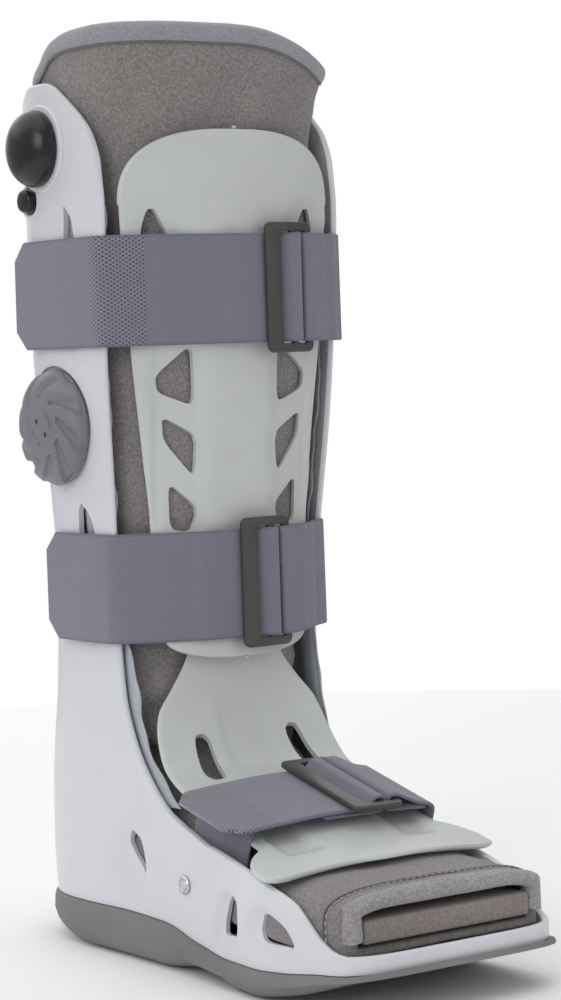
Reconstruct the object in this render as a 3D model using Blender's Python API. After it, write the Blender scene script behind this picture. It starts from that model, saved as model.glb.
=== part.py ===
"""A tall walking boot: rocker sole, one-piece shell, padded liner, front and foot panels, straps and air valves.

Metres, +Z up. The toe points to -Y and the wearer's right, with the bulb and the dial, is -X. The origin is on
the flat of the sole, on the boot's plane of symmetry.
"""

import math

import bmesh
import bpy
import numpy as np

# Driving dimensions
HEIGHT = 0.430
LENGTH = 0.282
WIDTH = 0.118
CALF_WIDTH = 0.134
TOE_Y = -0.147
HEEL_Y = TOE_Y + LENGTH

SHELL_WALL = 0.003
PANEL_WALL = 0.0025
LINER_WALL = 0.006
LINER_FLOOR = 0.0035
FOOTBED_LIFT = 0.0021
LINER_CLEARANCE = 0.0028
FIT_GAP = 0.0004
FOOTBED_THICKNESS = 0.010
AIR_CELL_THICKNESS = 0.0014

STRAP_WIDTH = 0.050
STRAP_THICKNESS = 0.0016
TOP_STRAP_Z = 0.306
MIDDLE_STRAP_Z = 0.171
TOP_BUCKLE_X = 0.0265
MIDDLE_BUCKLE_X = 0.0080
FOOT_BUCKLE_X = 0.0135
TOP_REACH_RIGHT = 0.163
TOP_REACH_LEFT = 0.090
MIDDLE_REACH_RIGHT = 0.125
MIDDLE_REACH_LEFT = 0.099
STRAP_CORNER = 0.008
FOOT_TAB = 0.0185
FOOT_STRAP_CENTRE = (0.0, -0.0445, 0.0725)
FOOT_STRAP_SLOPE = math.radians(14.3)

BUCKLE_THICKNESS = 0.0026
BUCKLE_HEIGHT = 0.0600

DIAL_CENTRE = (-0.0640, 0.0585, 0.2450)
DIAL_RADIUS = 0.0270
DIAL_DEPTH = 0.0130
BULB_CENTRE = (-0.0665, 0.0590, 0.3730)
BULB_RADIUS = 0.0175
BULB_DEPTH = 0.0130
VALVE_CENTRE = (-0.0640, 0.0725, 0.3500)
VALVE_RADIUS = 0.0057
BULB_BOSS_RADIUS = 0.0195
VALVE_BOSS_RADIUS = 0.0085
DIAL_BOSS_RADIUS = 0.0310
BOSS_ROOT = -0.0200
DIAL_DISH_LEVEL = -0.0018
BULB_BOSS_LEVEL = 0.0025
VALVE_BOSS_LEVEL = 0.0030
VALVE_POCKET_LEVEL = -0.0010
VALVE_TRAVEL = 0.0018
SCREW_CENTRE_Y = -0.0185
SCREW_CENTRE_Z = 0.0405
SCREW_RADIUS = 0.0042

# Tables of shares: heights are shares of HEIGHT, places along Y are shares of LENGTH from the toe,
# and half-widths are shares of half the width that the table's comment names.
# Calf half-width by height, of CALF_WIDTH
CALF_SPREAD = ((0.05, 0.79), (0.17, 0.83), (0.27, 0.85), (0.38, 0.865), (0.44, 0.89), (0.50, 0.92),
               (0.58, 0.963), (0.64, 0.985), (0.70, 0.993), (0.80, 1.005), (1.0, 1.01))
# Where the side of each section is widest, along Y
SECTION_CENTRE = ((0.05, 0.748), (0.10, 0.748), (0.17, 0.741), (0.21, 0.730), (0.27, 0.713), (0.33, 0.706),
                  (0.44, 0.699), (0.50, 0.699), (0.58, 0.706), (0.64, 0.711), (0.70, 0.713), (1.0, 0.706))
# The back of the shell, along Y
BACK = ((0.03, 0.977), (0.06, 0.985), (0.11, 0.996), (0.17, 0.990), (0.21, 0.975), (0.27, 0.947), (0.33, 0.933),
        (0.38, 0.922),
        (0.44, 0.911), (0.50, 0.911), (0.58, 0.926), (0.64, 0.931), (0.70, 0.933), (0.80, 0.929), (0.94, 0.918))
# The front edge of the upright, along Y
FRONT_EDGE = ((0.140, 0.387), (0.165, 0.500), (0.186, 0.539), (0.221, 0.578), (0.251, 0.597), (0.281, 0.610),
              (0.340, 0.617), (0.395, 0.613), (0.451, 0.606), (0.547, 0.592), (0.640, 0.582), (0.698, 0.576),
              (0.802, 0.566), (0.851, 0.574))
# Foot half-width along Y, of WIDTH
FOOT_SPREAD = ((0.0, 1.0), (0.17, 1.0), (0.31, 0.958), (0.41, 0.915), (0.52, 0.898), (0.63, 0.898),
               (0.75, 0.91), (1.0, 0.91))
# Height of the foot wall's rim, and of the seam between sole and shell, along Y
FOOT_RIM = ((0.0, 0.0616), (0.025, 0.0616), (0.046, 0.065), (0.071, 0.073), (0.142, 0.105), (0.21, 0.1175),
            (0.273, 0.127), (0.344, 0.136), (0.387, 0.140))
SEAM = ((0.0, 0.0465), (0.064, 0.044), (0.167, 0.035), (0.266, 0.030), (0.33, 0.030), (0.426, 0.037),
        (0.52, 0.049), (0.63, 0.051), (0.73, 0.050), (1.0, 0.0465))
# Height of the walking face along Y
WALKING_FACE = ((-0.01, 0.041), (0.064, 0.030), (0.13, 0.0165), (0.20, 0.006), (0.255, 0.0), (0.74, 0.0),
                (0.80, 0.003), (0.88, 0.012), (1.01, 0.026))
# Height of the ears' and back rim along Y
TOP_RIM = ((0.574, 0.851), (0.582, 0.865), (0.596, 0.881), (0.617, 0.895), (0.670, 0.921), (0.692, 0.930),
           (0.720, 0.935), (0.766, 0.935), (0.80, 0.926), (0.86, 0.902), (0.94, 0.874))
TOE_CORNER = 5.0
REAR_CORNER = 2.4
LOW_RIM = 0.140 * HEIGHT
UPRIGHT_TOP = 0.814 * HEIGHT
FRONT_TUCK = 0.022
WAIST_LIFT = 0.0035

MATERIALS = {
    "shell_white": ((0.78, 0.79, 0.82), 0.35, 0.0),
    "panel_grey": ((0.52, 0.55, 0.54), 0.38, 0.0),
    "sole_rubber": ((0.22, 0.22, 0.22), 0.75, 0.0),
    "liner_fabric": ((0.20, 0.19, 0.185), 0.95, 0.0),
    "foam_taupe": ((0.23, 0.20, 0.19), 0.9, 0.0),
    "vinyl_clear": ((0.55, 0.57, 0.62), 0.15, 0.0),
    "strap_webbing": ((0.18, 0.18, 0.26), 0.9, 0.0),
    "buckle_plastic": ((0.06, 0.058, 0.055), 0.4, 0.0),
    "bulb_rubber": ((0.012, 0.012, 0.012), 0.35, 0.0),
    "dial_plastic": ((0.19, 0.20, 0.22), 0.45, 0.0),
    "screw_metal": ((0.7, 0.7, 0.7), 0.3, 1.0),
}


def curve(table, at):
    """The smooth monotone curve through the table's points, level past its ends."""
    xs, ys = np.array(table, float).T
    step = np.diff(xs)
    slope = np.diff(ys) / step
    tangent = np.zeros_like(ys)
    tangent[0], tangent[-1] = slope[0], slope[-1]
    for i in range(1, len(xs) - 1):
        if slope[i - 1] * slope[i] > 0:
            before, after = 2 * step[i] + step[i - 1], step[i] + 2 * step[i - 1]
            tangent[i] = (before + after) / (before / slope[i - 1] + after / slope[i])
    at = np.clip(at, xs[0], xs[-1])
    i = np.clip(np.searchsorted(xs, at, side="right") - 1, 0, len(step) - 1)
    t = (at - xs[i]) / step[i]
    start = (1 + 2 * t) * (1 - t) ** 2 * ys[i] + t * (1 - t) ** 2 * step[i] * tangent[i]
    return start + t * t * (3 - 2 * t) * ys[i + 1] + t * t * (t - 1) * step[i] * tangent[i + 1]


def ease(low, high, at):
    """0 below low, 1 above high, and a smooth step between."""
    t = np.clip((at - low) / (high - low), 0, 1)
    return t * t * (3 - 2 * t)


def along(table, z):
    """A place along Y from a table of shares by height."""
    return TOE_Y + LENGTH * curve(table, z / HEIGHT)


def height_of(table, y):
    """A height from a table of shares by place along Y."""
    return HEIGHT * curve(table, (y - TOE_Y) / LENGTH)


def round_corner(angle, power):
    """A point on the unit superellipse in the direction of the angle."""
    c, s = abs(math.cos(angle)), abs(math.sin(angle))
    return c / (c**power + s**power) ** (1 / power), s / (c**power + s**power) ** (1 / power)


def half_width(y, z):
    """Outer half-width of the shell's side at a place and height."""
    foot = WIDTH / 2 * curve(FOOT_SPREAD, (y - TOE_Y) / LENGTH)
    centre, edge = along(SECTION_CENTRE, z), along(FRONT_EDGE, z)
    tuck = np.clip((centre - y) / (centre - edge), 0, 1) ** 2 * FRONT_TUCK
    calf = CALF_WIDTH / 2 * curve(CALF_SPREAD, z / HEIGHT) * (1 - tuck)
    return foot + (calf - foot) * ease(0.125 * HEIGHT, 0.26 * HEIGHT, z)


def material(name):
    """The named material, made the first time that it is asked for."""
    if name in bpy.data.materials:
        return bpy.data.materials[name]
    colour, roughness, metallic = MATERIALS[name]
    made = bpy.data.materials.new(name)
    made.use_nodes = True
    shader = made.node_tree.nodes["Principled BSDF"]
    shader.inputs["Base Color"].default_value = (*colour, 1)
    shader.inputs["Roughness"].default_value = roughness
    shader.inputs["Metallic"].default_value = metallic
    return made


def solid(name, points, faces, material_name, smooth=True):
    """A named object from points and faces, with doubled points merged and its faces turned outwards."""
    mesh = bpy.data.meshes.new(name)
    mesh.from_pydata([tuple(map(float, p)) for p in points], [], [tuple(map(int, f)) for f in faces])
    obj = bpy.data.objects.new(name, mesh)
    bpy.context.scene.collection.objects.link(obj)
    clean(mesh)
    if smooth:
        mesh.shade_smooth()
        mesh.set_sharp_from_angle(angle=math.radians(40))
    if material_name:
        mesh.materials.append(material(material_name))
    return obj


def clean(mesh):
    """Merges doubled points, drops collapsed faces and turns the faces outwards."""
    edit = bmesh.new()
    edit.from_mesh(mesh)
    bmesh.ops.remove_doubles(edit, verts=edit.verts, dist=1e-6)
    bmesh.ops.dissolve_degenerate(edit, edges=edit.edges, dist=1e-7)
    bmesh.ops.recalc_face_normals(edit, faces=edit.faces)
    edit.to_mesh(mesh)
    edit.free()


def cut(obj, cutters):
    """Takes the cutters out of the object, one Boolean for each."""
    for cutter in cutters:
        cutter.hide_render = True
        cutter.display_type = "WIRE"
        modifier = obj.modifiers.new(cutter.name, "BOOLEAN")
        modifier.operation = "DIFFERENCE"
        modifier.object = cutter


def add(obj, bosses):
    """Joins the bosses to the object."""
    for boss in bosses:
        boss.hide_render = True
        boss.display_type = "WIRE"
        modifier = obj.modifiers.new(boss.name, "BOOLEAN")
        modifier.operation = "UNION"
        modifier.object = boss


def prism(name, outline, axis, low, high, material_name=None):
    """A straight prism over a closed outline, whose two coordinates are those other than the axis, in order."""
    count = len(outline)
    points = []
    for level in (low, high):
        for a, b in outline:
            point = [a, b]
            point.insert(axis, level)
            points.append(point)
    faces = [[i, (i + 1) % count, count + (i + 1) % count, count + i] for i in range(count)]
    faces += [list(range(count))[::-1], list(range(count, 2 * count))]
    return solid(name, points, faces, material_name)


def circle(centre, radius, count):
    """Points round a circle in a plane."""
    turns = [2 * math.pi * i / count for i in range(count)]
    return [(centre[0] + radius * math.cos(t), centre[1] + radius * math.sin(t)) for t in turns]


def turned(name, profile, centre, material_name, count=24):
    """A body turned about an axis along X, with its origin at the centre: profile points are (distance out, radius)."""
    points, faces = [], []
    for out, radius in profile:
        points += [(-out, y, z) for y, z in circle((0.0, 0.0), radius, count)]
    for ring in range(len(profile) - 1):
        for i in range(count):
            a, b = ring * count + i, ring * count + (i + 1) % count
            faces.append((a, b, b + count, a + count))
    faces.append(tuple(range(count)))
    faces.append(tuple(range((len(profile) - 1) * count, len(profile) * count)))
    body = solid(name, points, faces, material_name)
    body.location = centre
    return body


def plan_normals(line):
    """Outward normals of half an outline that runs from the toe's side round to the heel, mirrored at X = 0."""
    line = np.asarray(line)
    first = [(-line[1][0], line[1][1])] if abs(line[0][0]) < 1e-9 else [2 * line[0] - line[1]]
    last = [(-line[-2][0], line[-2][1])]
    padded = np.vstack([first, line, last])
    run = padded[2:] - padded[:-2]
    run /= np.linalg.norm(run, axis=1)[:, None]
    return np.stack([run[:, 1], -run[:, 0]], 1)


def mirrored(points, faces):
    """The points and faces with their mirror images across X = 0."""
    points = np.asarray(points)
    count = len(points)
    other = points * (-1, 1, 1)
    return np.vstack([points, other]), faces + [[count + i for i in face[::-1]] for face in faces]


TOE_STEPS, SIDE_STEPS, UPRIGHT_STEPS, REAR_STEPS = 7, 5, 5, 8
LOW_ROWS = 3
UPRIGHT_HEIGHTS = (0.165, 0.19, 0.221, 0.256, 0.30, 0.35, 0.41, 0.47, 0.55, 0.64, 0.73, 0.814)
TOP_ROWS = 3
TOE_ARC_Y = TOE_Y + 0.131 * LENGTH


def rear_points(z, centre, steps):
    """The round back of a section, from its widest point to the heel."""
    spread, depth = half_width(centre, z), along(BACK, z) - centre
    angles = np.linspace(0, math.pi / 2, steps + 1)[1:]
    corners = [round_corner(a, REAR_CORNER) for a in angles]
    return [(spread * c, centre + depth * s) for c, s in corners]


def foot_line(z):
    """Half the foot's outline at a height, from the middle of the toe to the heel."""
    line = []
    for angle in np.linspace(math.pi / 2, 0, TOE_STEPS + 1):
        c, s = round_corner(angle, TOE_CORNER)
        line.append((WIDTH / 2 * c, TOE_ARC_Y + (TOE_Y - TOE_ARC_Y) * s))
    line[0] = (0.0, TOE_Y)
    front = along(FRONT_EDGE, LOW_RIM)
    for y in np.linspace(TOE_ARC_Y, front, SIDE_STEPS + 1)[1:]:
        line.append((half_width(y, z), y))
    return line + upright_line(z, front)[1:]


def upright_line(z, front):
    """Half the shell's outline at a height, from its front edge to the heel."""
    centre = along(SECTION_CENTRE, z)
    line = [(half_width(y, z), y) for y in np.linspace(front, centre, UPRIGHT_STEPS + 1)]
    line += rear_points(z, centre, REAR_STEPS)
    line[-1] = (0.0, line[-1][1])
    return line


def shell():
    """One wall round the sole of the foot, the heel and the calf, with its floor."""
    corner = TOE_STEPS + SIDE_STEPS
    columns = corner + UPRIGHT_STEPS + REAR_STEPS
    rows = []
    for row in range(LOW_ROWS + 1):
        line = np.array(foot_line(LOW_RIM * 0.5 if row < LOW_ROWS else LOW_RIM))
        rim = np.where(np.arange(columns + 1) <= corner, height_of(FOOT_RIM, line[:, 1]), LOW_RIM)
        rows.append((line, rim, row / LOW_ROWS))
    for share in UPRIGHT_HEIGHTS:
        z = share * HEIGHT
        line = np.array(upright_line(z, along(FRONT_EDGE, z)))
        rows.append((line, np.full(len(line), z), None))
    top_edge = np.array(upright_line(UPRIGHT_TOP, along(FRONT_EDGE, 0.851 * HEIGHT)))
    for row in range(1, TOP_ROWS + 1):
        part = row / TOP_ROWS
        line = rows[LOW_ROWS + len(UPRIGHT_HEIGHTS)][0] * (1 - part) + top_edge * part
        z = UPRIGHT_TOP + (height_of(TOP_RIM, top_edge[:, 1]) - UPRIGHT_TOP) * part
        rows.append((line, z, None))

    points, index = [], {}
    for side, offset in (("out", 0.0), ("in", SHELL_WALL)):
        for r, (line, height, part) in enumerate(rows):
            inner = line - plan_normals(line) * offset
            base = height_of(SEAM, line[:, 1]) + offset
            for j, (x, y) in enumerate(inner):
                z = height[j] if part is None else base[j] + (height[j] - base[j]) * part
                column = j if r <= LOW_ROWS else j + corner
                index[side, r, column] = len(points)
                points.append((0.0 if column in (0, columns) else x, y, z))
    for side in ("out", "in"):
        for j in range(columns + 1):
            x, y, z = points[index[side, 0, j]]
            index[side, "middle", j] = len(points)
            points.append((0.0, y, z))

    faces = []
    last = len(rows) - 1
    for side in ("out", "in"):
        for r in range(last):
            for j in range(0 if r < LOW_ROWS else corner, columns):
                faces.append([index[side, r, j], index[side, r, j + 1], index[side, r + 1, j + 1], index[side, r + 1, j]])
        for j in range(columns):
            faces.append([index[side, 0, j], index[side, 0, j + 1], index[side, "middle", j + 1],
                          index[side, "middle", j]])
    edge = [(LOW_ROWS, j) for j in range(corner + 1)] + [(r, corner) for r in range(LOW_ROWS + 1, last + 1)]
    edge += [(last, j) for j in range(corner + 1, columns + 1)]
    for a, b in zip(edge, edge[1:]):
        faces.append([index[("out", *a)], index[("out", *b)], index[("in", *b)], index[("in", *a)]])
    points, faces = mirrored(points, faces)
    body = solid("shell", points, faces, "shell_white")

    cavity = shell_cavity(rows[LOW_ROWS:])
    taper = 0.0005
    bosses = [turned("dial_boss", ((BOSS_ROOT, DIAL_BOSS_RADIUS), (-0.0002, DIAL_BOSS_RADIUS - taper)),
                     DIAL_CENTRE, None, 32),
              turned("bulb_boss", ((BOSS_ROOT, BULB_BOSS_RADIUS), (BULB_BOSS_LEVEL, BULB_BOSS_RADIUS - taper)),
                     BULB_CENTRE, None, 28),
              turned("valve_boss", ((BOSS_ROOT, VALVE_BOSS_RADIUS), (VALVE_BOSS_LEVEL, VALVE_BOSS_RADIUS - taper)),
                     VALVE_CENTRE, None, 16)]
    for boss in bosses:
        cut(boss, [cavity])
    add(body, bosses)
    dish_radius = DIAL_RADIUS + 0.0012
    dish_outside = 0.0100
    holes = [turned("dial_dish", ((DIAL_DISH_LEVEL, dish_radius), (dish_outside, dish_radius + 0.0008)), DIAL_CENTRE,
                    None, 32)]
    pocket_radius = VALVE_RADIUS + 0.0005
    holes.append(turned("valve_pocket", ((VALVE_POCKET_LEVEL, pocket_radius), (dish_outside, pocket_radius)),
                        VALVE_CENTRE, None, 20))
    for side, sign in (("right", -1), ("left", 1)):
        low, high = sorted((sign * 0.030, sign * 0.080))
        for hole, outline in SHELL_HOLES.items():
            places = [(TOE_Y + LENGTH * y, HEIGHT * z) for y, z in outline]
            holes.append(prism(f"{hole}_{side}", places, 0, low, high))
    cut(body, holes)
    return body


def shell_cavity(rows):
    """The room inside the upright's wall, out to the middle of the wall."""
    rings = []
    for line, height, _ in rows:
        inner = line - plan_normals(line) * SHELL_WALL / 2
        height = np.broadcast_to(height, len(inner))
        right = [(-x, y, z) for (x, y), z in zip(inner, height)][-(UPRIGHT_STEPS + REAR_STEPS + 1):]
        left = [(x, y, z) for (x, y), z in zip(inner, height)][-(UPRIGHT_STEPS + REAR_STEPS + 1):-1]
        rings.append(left + right[::-1])
    count = len(rings[0])
    points = [p for ring in rings for p in ring]
    faces = [[i, (i + 1) % count, (i + 1) % count + count, i + count] for i in range(count)]
    faces = [[v + r * count for v in face] for r in range(len(rings) - 1) for face in faces]
    faces += [list(range(count)), list(range(len(points) - count, len(points)))]
    cavity = solid("shell_cavity", points, faces, None)
    cavity.hide_render = True
    cavity.display_type = "WIRE"
    return cavity


# Cut-outs in the shell's sides, as shares along Y and of the height
SHELL_HOLES = {
    "upper_slot": ((0.671, 0.800), (0.650, 0.785), (0.642, 0.76), (0.642, 0.68), (0.652, 0.67), (0.668, 0.67),
                   (0.678, 0.68), (0.678, 0.76)),
    "lower_slot": ((0.685, 0.483), (0.663, 0.470), (0.653, 0.45), (0.655, 0.37), (0.666, 0.355),
                   (0.690, 0.355), (0.701, 0.37), (0.703, 0.45), (0.698, 0.475)),
    "heel_window": ((0.612, 0.138), (0.588, 0.130), (0.579, 0.115), (0.576, 0.096), (0.600, 0.103),
                    (0.620, 0.113), (0.631, 0.124)),
    "arch_window": ((0.317, 0.095), (0.298, 0.091), (0.300, 0.057), (0.350, 0.054), (0.347, 0.068),
                    (0.335, 0.086)),
    "toe_window": ((0.208, 0.0885), (0.163, 0.080), (0.141, 0.067), (0.146, 0.0615), (0.228, 0.059),
                   (0.236, 0.070), (0.226, 0.084)),
}


def sole():
    """The rocker sole: a flat walking face, a raised toe and heel, and side walls up to the shell's seam."""
    line = np.array(foot_line(0.0))
    normal = plan_normals(line)
    seam = height_of(SEAM, line[:, 1]) - FIT_GAP
    floor = height_of(WALKING_FACE, line[:, 1])
    waist = ease(0.30, 0.38, (line[:, 1] - TOE_Y) / LENGTH) - ease(0.44, 0.53, (line[:, 1] - TOE_Y) / LENGTH)
    rings = []
    lift = WAIST_LIFT * waist
    for spread, height in ((0.0022, seam), (0.0030, seam * 0.45 + floor * 0.55), (-0.0010, floor + 0.0016 + lift),
                           (-0.0050, floor + lift), (-0.0220, floor)):
        ring = line + normal * spread
        ring[0, 0] = ring[-1, 0] = 0.0
        rings.append([(x, y, z) for (x, y), z in zip(ring, height)])
    columns = len(line)
    points = [p for ring in rings for p in ring]
    points += [(0.0, y, z) for x, y, z in rings[0]] + [(0.0, y, z) for x, y, z in rings[-1]]
    faces = []
    for r in range(len(rings) - 1):
        for j in range(columns - 1):
            a = r * columns + j
            faces.append([a, a + 1, a + 1 + columns, a + columns])
    for ring, middle in ((0, len(rings)), (len(rings) - 1, len(rings) + 1)):
        for j in range(columns - 1):
            a, b = ring * columns + j, middle * columns + j
            faces.append([a, a + 1, b + 1, b])
    points, faces = mirrored(points, faces)
    return solid("sole", points, faces, "sole_rubber")


def tube(name, sections, wall_sections, material_name):
    """A hollow tube open at both ends, from matching rings of points of its outside and its inside."""
    count, rings = len(sections[0]), len(sections)
    points = [p for ring in sections for p in ring] + [p for ring in wall_sections for p in ring]
    faces = []
    for base in (0, rings * count):
        for r in range(rings - 1):
            for i in range(count):
                a, b = base + r * count + i, base + r * count + (i + 1) % count
                faces.append([a, b, b + count, a + count])
    for r in (0, rings - 1):
        for i in range(count):
            a, b = r * count + i, r * count + (i + 1) % count
            faces.append([a, b, b + rings * count, a + rings * count])
    return solid(name, points, faces, material_name)


# The liner's instep, as places along Y and heights in shares
INSTEP = ((0.043, 0.119), (0.096, 0.120), (0.18, 0.123), (0.27, 0.137), (0.36, 0.154), (0.43, 0.168),
          (0.49, 0.179), (0.545, 0.202))
ANKLE_Y = TOE_Y + 0.562 * LENGTH
ANKLE_Z = 0.228 * HEIGHT
# The front of the liner's calf, and how far it leans in from the shell, by height
CALF_FRONT = ((0.228, 0.562), (0.25, 0.576), (0.30, 0.588), (0.34, 0.585), (0.38, 0.573), (0.47, 0.563),
              (0.55, 0.555), (0.65, 0.546), (0.79, 0.538), (0.888, 0.5345), (0.925, 0.515), (0.96, 0.504), (1.0, 0.500))
CALF_MIDDLE = ((0.30, 0.72), (0.80, 0.713), (1.0, 0.693))
LINER_BACK_TOP = TOE_Y + 0.872 * LENGTH
LINER_TOP_DIP = 0.014
LINER_BOTTOM = 0.0250
HEEL_CORNER = 6.0
SECTION_POINTS = 24
FOOT_SECTIONS = 7
ANKLE_SECTIONS = 6
CALF_LEVELS = (0.228, 0.262, 0.30, 0.36, 0.44, 0.53, 0.62, 0.72, 0.81, 0.888, 0.925, 0.96, 0.991)


def boot_ring(near, far, spread, middle, inset, power_near, power_far):
    """One ring of the liner: a rounded section from its near side, at the front, to its far side."""
    near, far = np.array(near, float), np.array(far, float)
    run = far - near
    reach = np.linalg.norm(run)
    run /= reach
    centre = near + run * reach * middle
    ring = []
    for i in range(SECTION_POINTS):
        angle = 2 * math.pi * i / SECTION_POINTS
        ahead = math.cos(angle) > 0
        c, s = round_corner(angle, power_near if ahead else power_far)
        depth = (reach * middle if ahead else reach * (1 - middle)) - (inset[0] if ahead else inset[1])
        y, z = centre - run * depth * c if ahead else centre + run * depth * c
        ring.append((math.copysign(s, math.sin(angle)) * (spread - inset[0]), y, z))
    return ring


def liner_rings(inset_side, inset_sole):
    """The liner's rings from its open toe round the ankle to its open top."""
    rings = []
    wall_clearance = SHELL_WALL + LINER_CLEARANCE
    for share in np.linspace(0.043, 0.545, FOOT_SECTIONS):
        y = TOE_Y + share * LENGTH
        top = HEIGHT * curve(INSTEP, share)
        bottom = max(LINER_BOTTOM, height_of(SEAM, y) + SHELL_WALL + FIT_GAP)
        snug = 1 - ease(0.20, 0.28, share)
        spread = half_width(y, 0.0) - wall_clearance + (LINER_CLEARANCE - 0.0006) * snug
        powers = 2.8 + 1.2 * snug, 12.0
        rings.append(boot_ring((y, top), (y, bottom), spread, 0.62, (inset_side, inset_sole), *powers))
        rings[-1] = [(math.copysign(min(abs(x), toe_room(py) - inset_side), x), py, pz) for x, py, pz in rings[-1]]
    heel_y, heel_z = along(BACK, 0.1 * HEIGHT) - wall_clearance, LINER_BOTTOM
    for step in range(1, ANKLE_SECTIONS):
        turn = step / ANKLE_SECTIONS * math.pi / 2
        reach_down, reach_back = ANKLE_Z - heel_z, heel_y - ANKLE_Y
        c, s = math.cos(turn), math.sin(turn)
        reach = 1 / ((c / reach_down) ** HEEL_CORNER + (s / reach_back) ** HEEL_CORNER) ** (1 / HEEL_CORNER)
        far = (ANKLE_Y + reach * s, ANKLE_Z - reach * c)
        near = (ANKLE_Y - 0.0048 * (1 - s), ANKLE_Z - 0.0105 * (1 - s))
        middle_y = (near[0] + far[0]) / 2
        spread = half_width(min(middle_y, along(SECTION_CENTRE, far[1])), (near[1] + far[1]) / 2) - wall_clearance
        power = 12.0 - 9.5 * math.sqrt(step / ANKLE_SECTIONS)
        inset = inset_sole + (inset_side - inset_sole) * s
        rings.append(held_in(boot_ring(near, far, spread, 0.60, (inset_side, inset), 2.9, power), inset_side))
    for share in CALF_LEVELS:
        z = share * HEIGHT
        front = along(CALF_FRONT, z)
        back = along(BACK, z) - wall_clearance
        back += (LINER_BACK_TOP - back) * ease(0.93, 1.0, share)
        middle = along(CALF_MIDDLE, z)
        spread = half_width(along(SECTION_CENTRE, z), z) - wall_clearance + 0.003 * ease(0.95, 1.0, share)
        power = 2.9 + 0.3 * ease(0.25, 0.45, share) + 0.6 * ease(0.92, 0.98, share)
        ring = boot_ring((front, z), (back, z), spread, (middle - front) / (back - front),
                         (inset_side, inset_side), power, 2.5)
        dip = LINER_TOP_DIP * ease(0.80, 1.0, share)
        rings.append([(x, y, z - dip * top_dip(x / spread, y)) for x, y, z in held_in(ring, inset_side)])
    return rings


def toe_room(y):
    """Half the room between the shell's walls near the toe's round corners."""
    t = np.clip((TOE_ARC_Y - y) / (TOE_ARC_Y - TOE_Y - SHELL_WALL - LINER_CLEARANCE), 0, 1)
    return (WIDTH / 2 - SHELL_WALL - FIT_GAP) * (1 - t**TOE_CORNER) ** (1 / TOE_CORNER)


def held_in(ring, inset):
    """The ring with its points kept inside the round back of the shell."""
    kept = []
    clearance = SHELL_WALL + LINER_CLEARANCE / 2
    for x, y, z in ring:
        centre = along(SECTION_CENTRE, z)
        t = np.clip((y - centre) / (along(BACK, z) - clearance - centre), 0, 1)
        room = (half_width(centre, z) - clearance) * (1 - t**REAR_CORNER) ** (1 / REAR_CORNER)
        kept.append((math.copysign(min(abs(x), max(room - inset, 0.2 * abs(x))), x), y, z))
    return kept


def top_dip(side, y):
    """How much the liner's top edge dips at a place: not at all in front, and fully at the sides."""
    return max(abs(side) ** 5, float(ease(0.035, 0.085, y)))


def liner():
    """The padded boot that goes round the foot and the calf, open at the toe and at the top."""
    return tube("liner", liner_rings(0.0, 0.0), liner_rings(LINER_WALL, LINER_FLOOR), "liner_fabric")


# Half the footbed's outline, as places along Y and shares of WIDTH / 2
FOOTBED_OUTLINE = ((0.030, 0.755), (0.18, 0.755), (0.28, 0.66), (0.40, 0.57), (0.52, 0.53), (0.70, 0.53),
                   (0.77, 0.43), (0.81, 0.25))


def footbed():
    """The foam slab inside the liner, which shows at the open toe."""
    low = LINER_BOTTOM + LINER_FLOOR + FOOTBED_LIFT
    outline = []
    for y, spread in FOOTBED_OUTLINE:
        outline.append((spread * WIDTH / 2, TOE_Y + y * LENGTH))
    outline += [(-x, y) for x, y in outline[::-1]]
    return prism("footbed", outline, 2, low, low + FOOTBED_THICKNESS, "foam_taupe")


INSIDE = np.array((0.0, 0.06, 0.05))


def sheet(name, grid, wall, material_name):
    """A closed plate from a grid of points on its outer face, thickened inwards."""
    grid = np.asarray(grid, float)
    across = np.gradient(grid, axis=1)
    up = np.gradient(grid, axis=0)
    normal = np.cross(across, up)
    normal /= np.linalg.norm(normal, axis=2)[:, :, None]
    if ((grid - INSIDE) * normal).sum() < 0:
        normal = -normal
    inner = grid - normal * wall
    rows, columns = grid.shape[:2]
    points = np.vstack([grid.reshape(-1, 3), inner.reshape(-1, 3)])
    faces = []
    for base in (0, rows * columns):
        for r in range(rows - 1):
            for c in range(columns - 1):
                a = base + r * columns + c
                faces.append([a, a + 1, a + 1 + columns, a + columns])
    edge = [c for c in range(columns)] + [r * columns + columns - 1 for r in range(1, rows)]
    edge += [(rows - 1) * columns + c for c in range(columns - 2, -1, -1)]
    edge += [r * columns for r in range(rows - 2, 0, -1)]
    for a, b in zip(edge, edge[1:] + edge[:1]):
        faces.append([a, b, b + rows * columns, a + rows * columns])
    return solid(name, points, faces, material_name)


# The front panel's half-width by height, of CALF_WIDTH, and the place of its middle along Y
PANEL_SPREAD = ((0.319, 0.30), (0.322, 0.40), (0.330, 0.50), (0.342, 0.555), (0.358, 0.585), (0.40, 0.605),
                (0.467, 0.636), (0.547, 0.687), (0.647, 0.761), (0.74, 0.812), (0.81, 0.833), (0.837, 0.823),
                (0.854, 0.77), (0.864, 0.70), (0.873, 0.60), (0.878, 0.48), (0.880, 0.38))
PANEL_MIDDLE = ((0.319, 0.533), (0.40, 0.544), (0.467, 0.541), (0.55, 0.535), (0.65, 0.528), (0.79, 0.5215),
                (0.880, 0.518))
PANEL_BOW = 0.0085
PANEL_BOW_POWER = 2.5
PANEL_ROWS = (0.319, 0.322, 0.330, 0.342, 0.36, 0.42, 0.50, 0.58, 0.66, 0.74, 0.80, 0.837, 0.854, 0.864, 0.873,
              0.880)
PANEL_COLUMNS = 11


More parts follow.
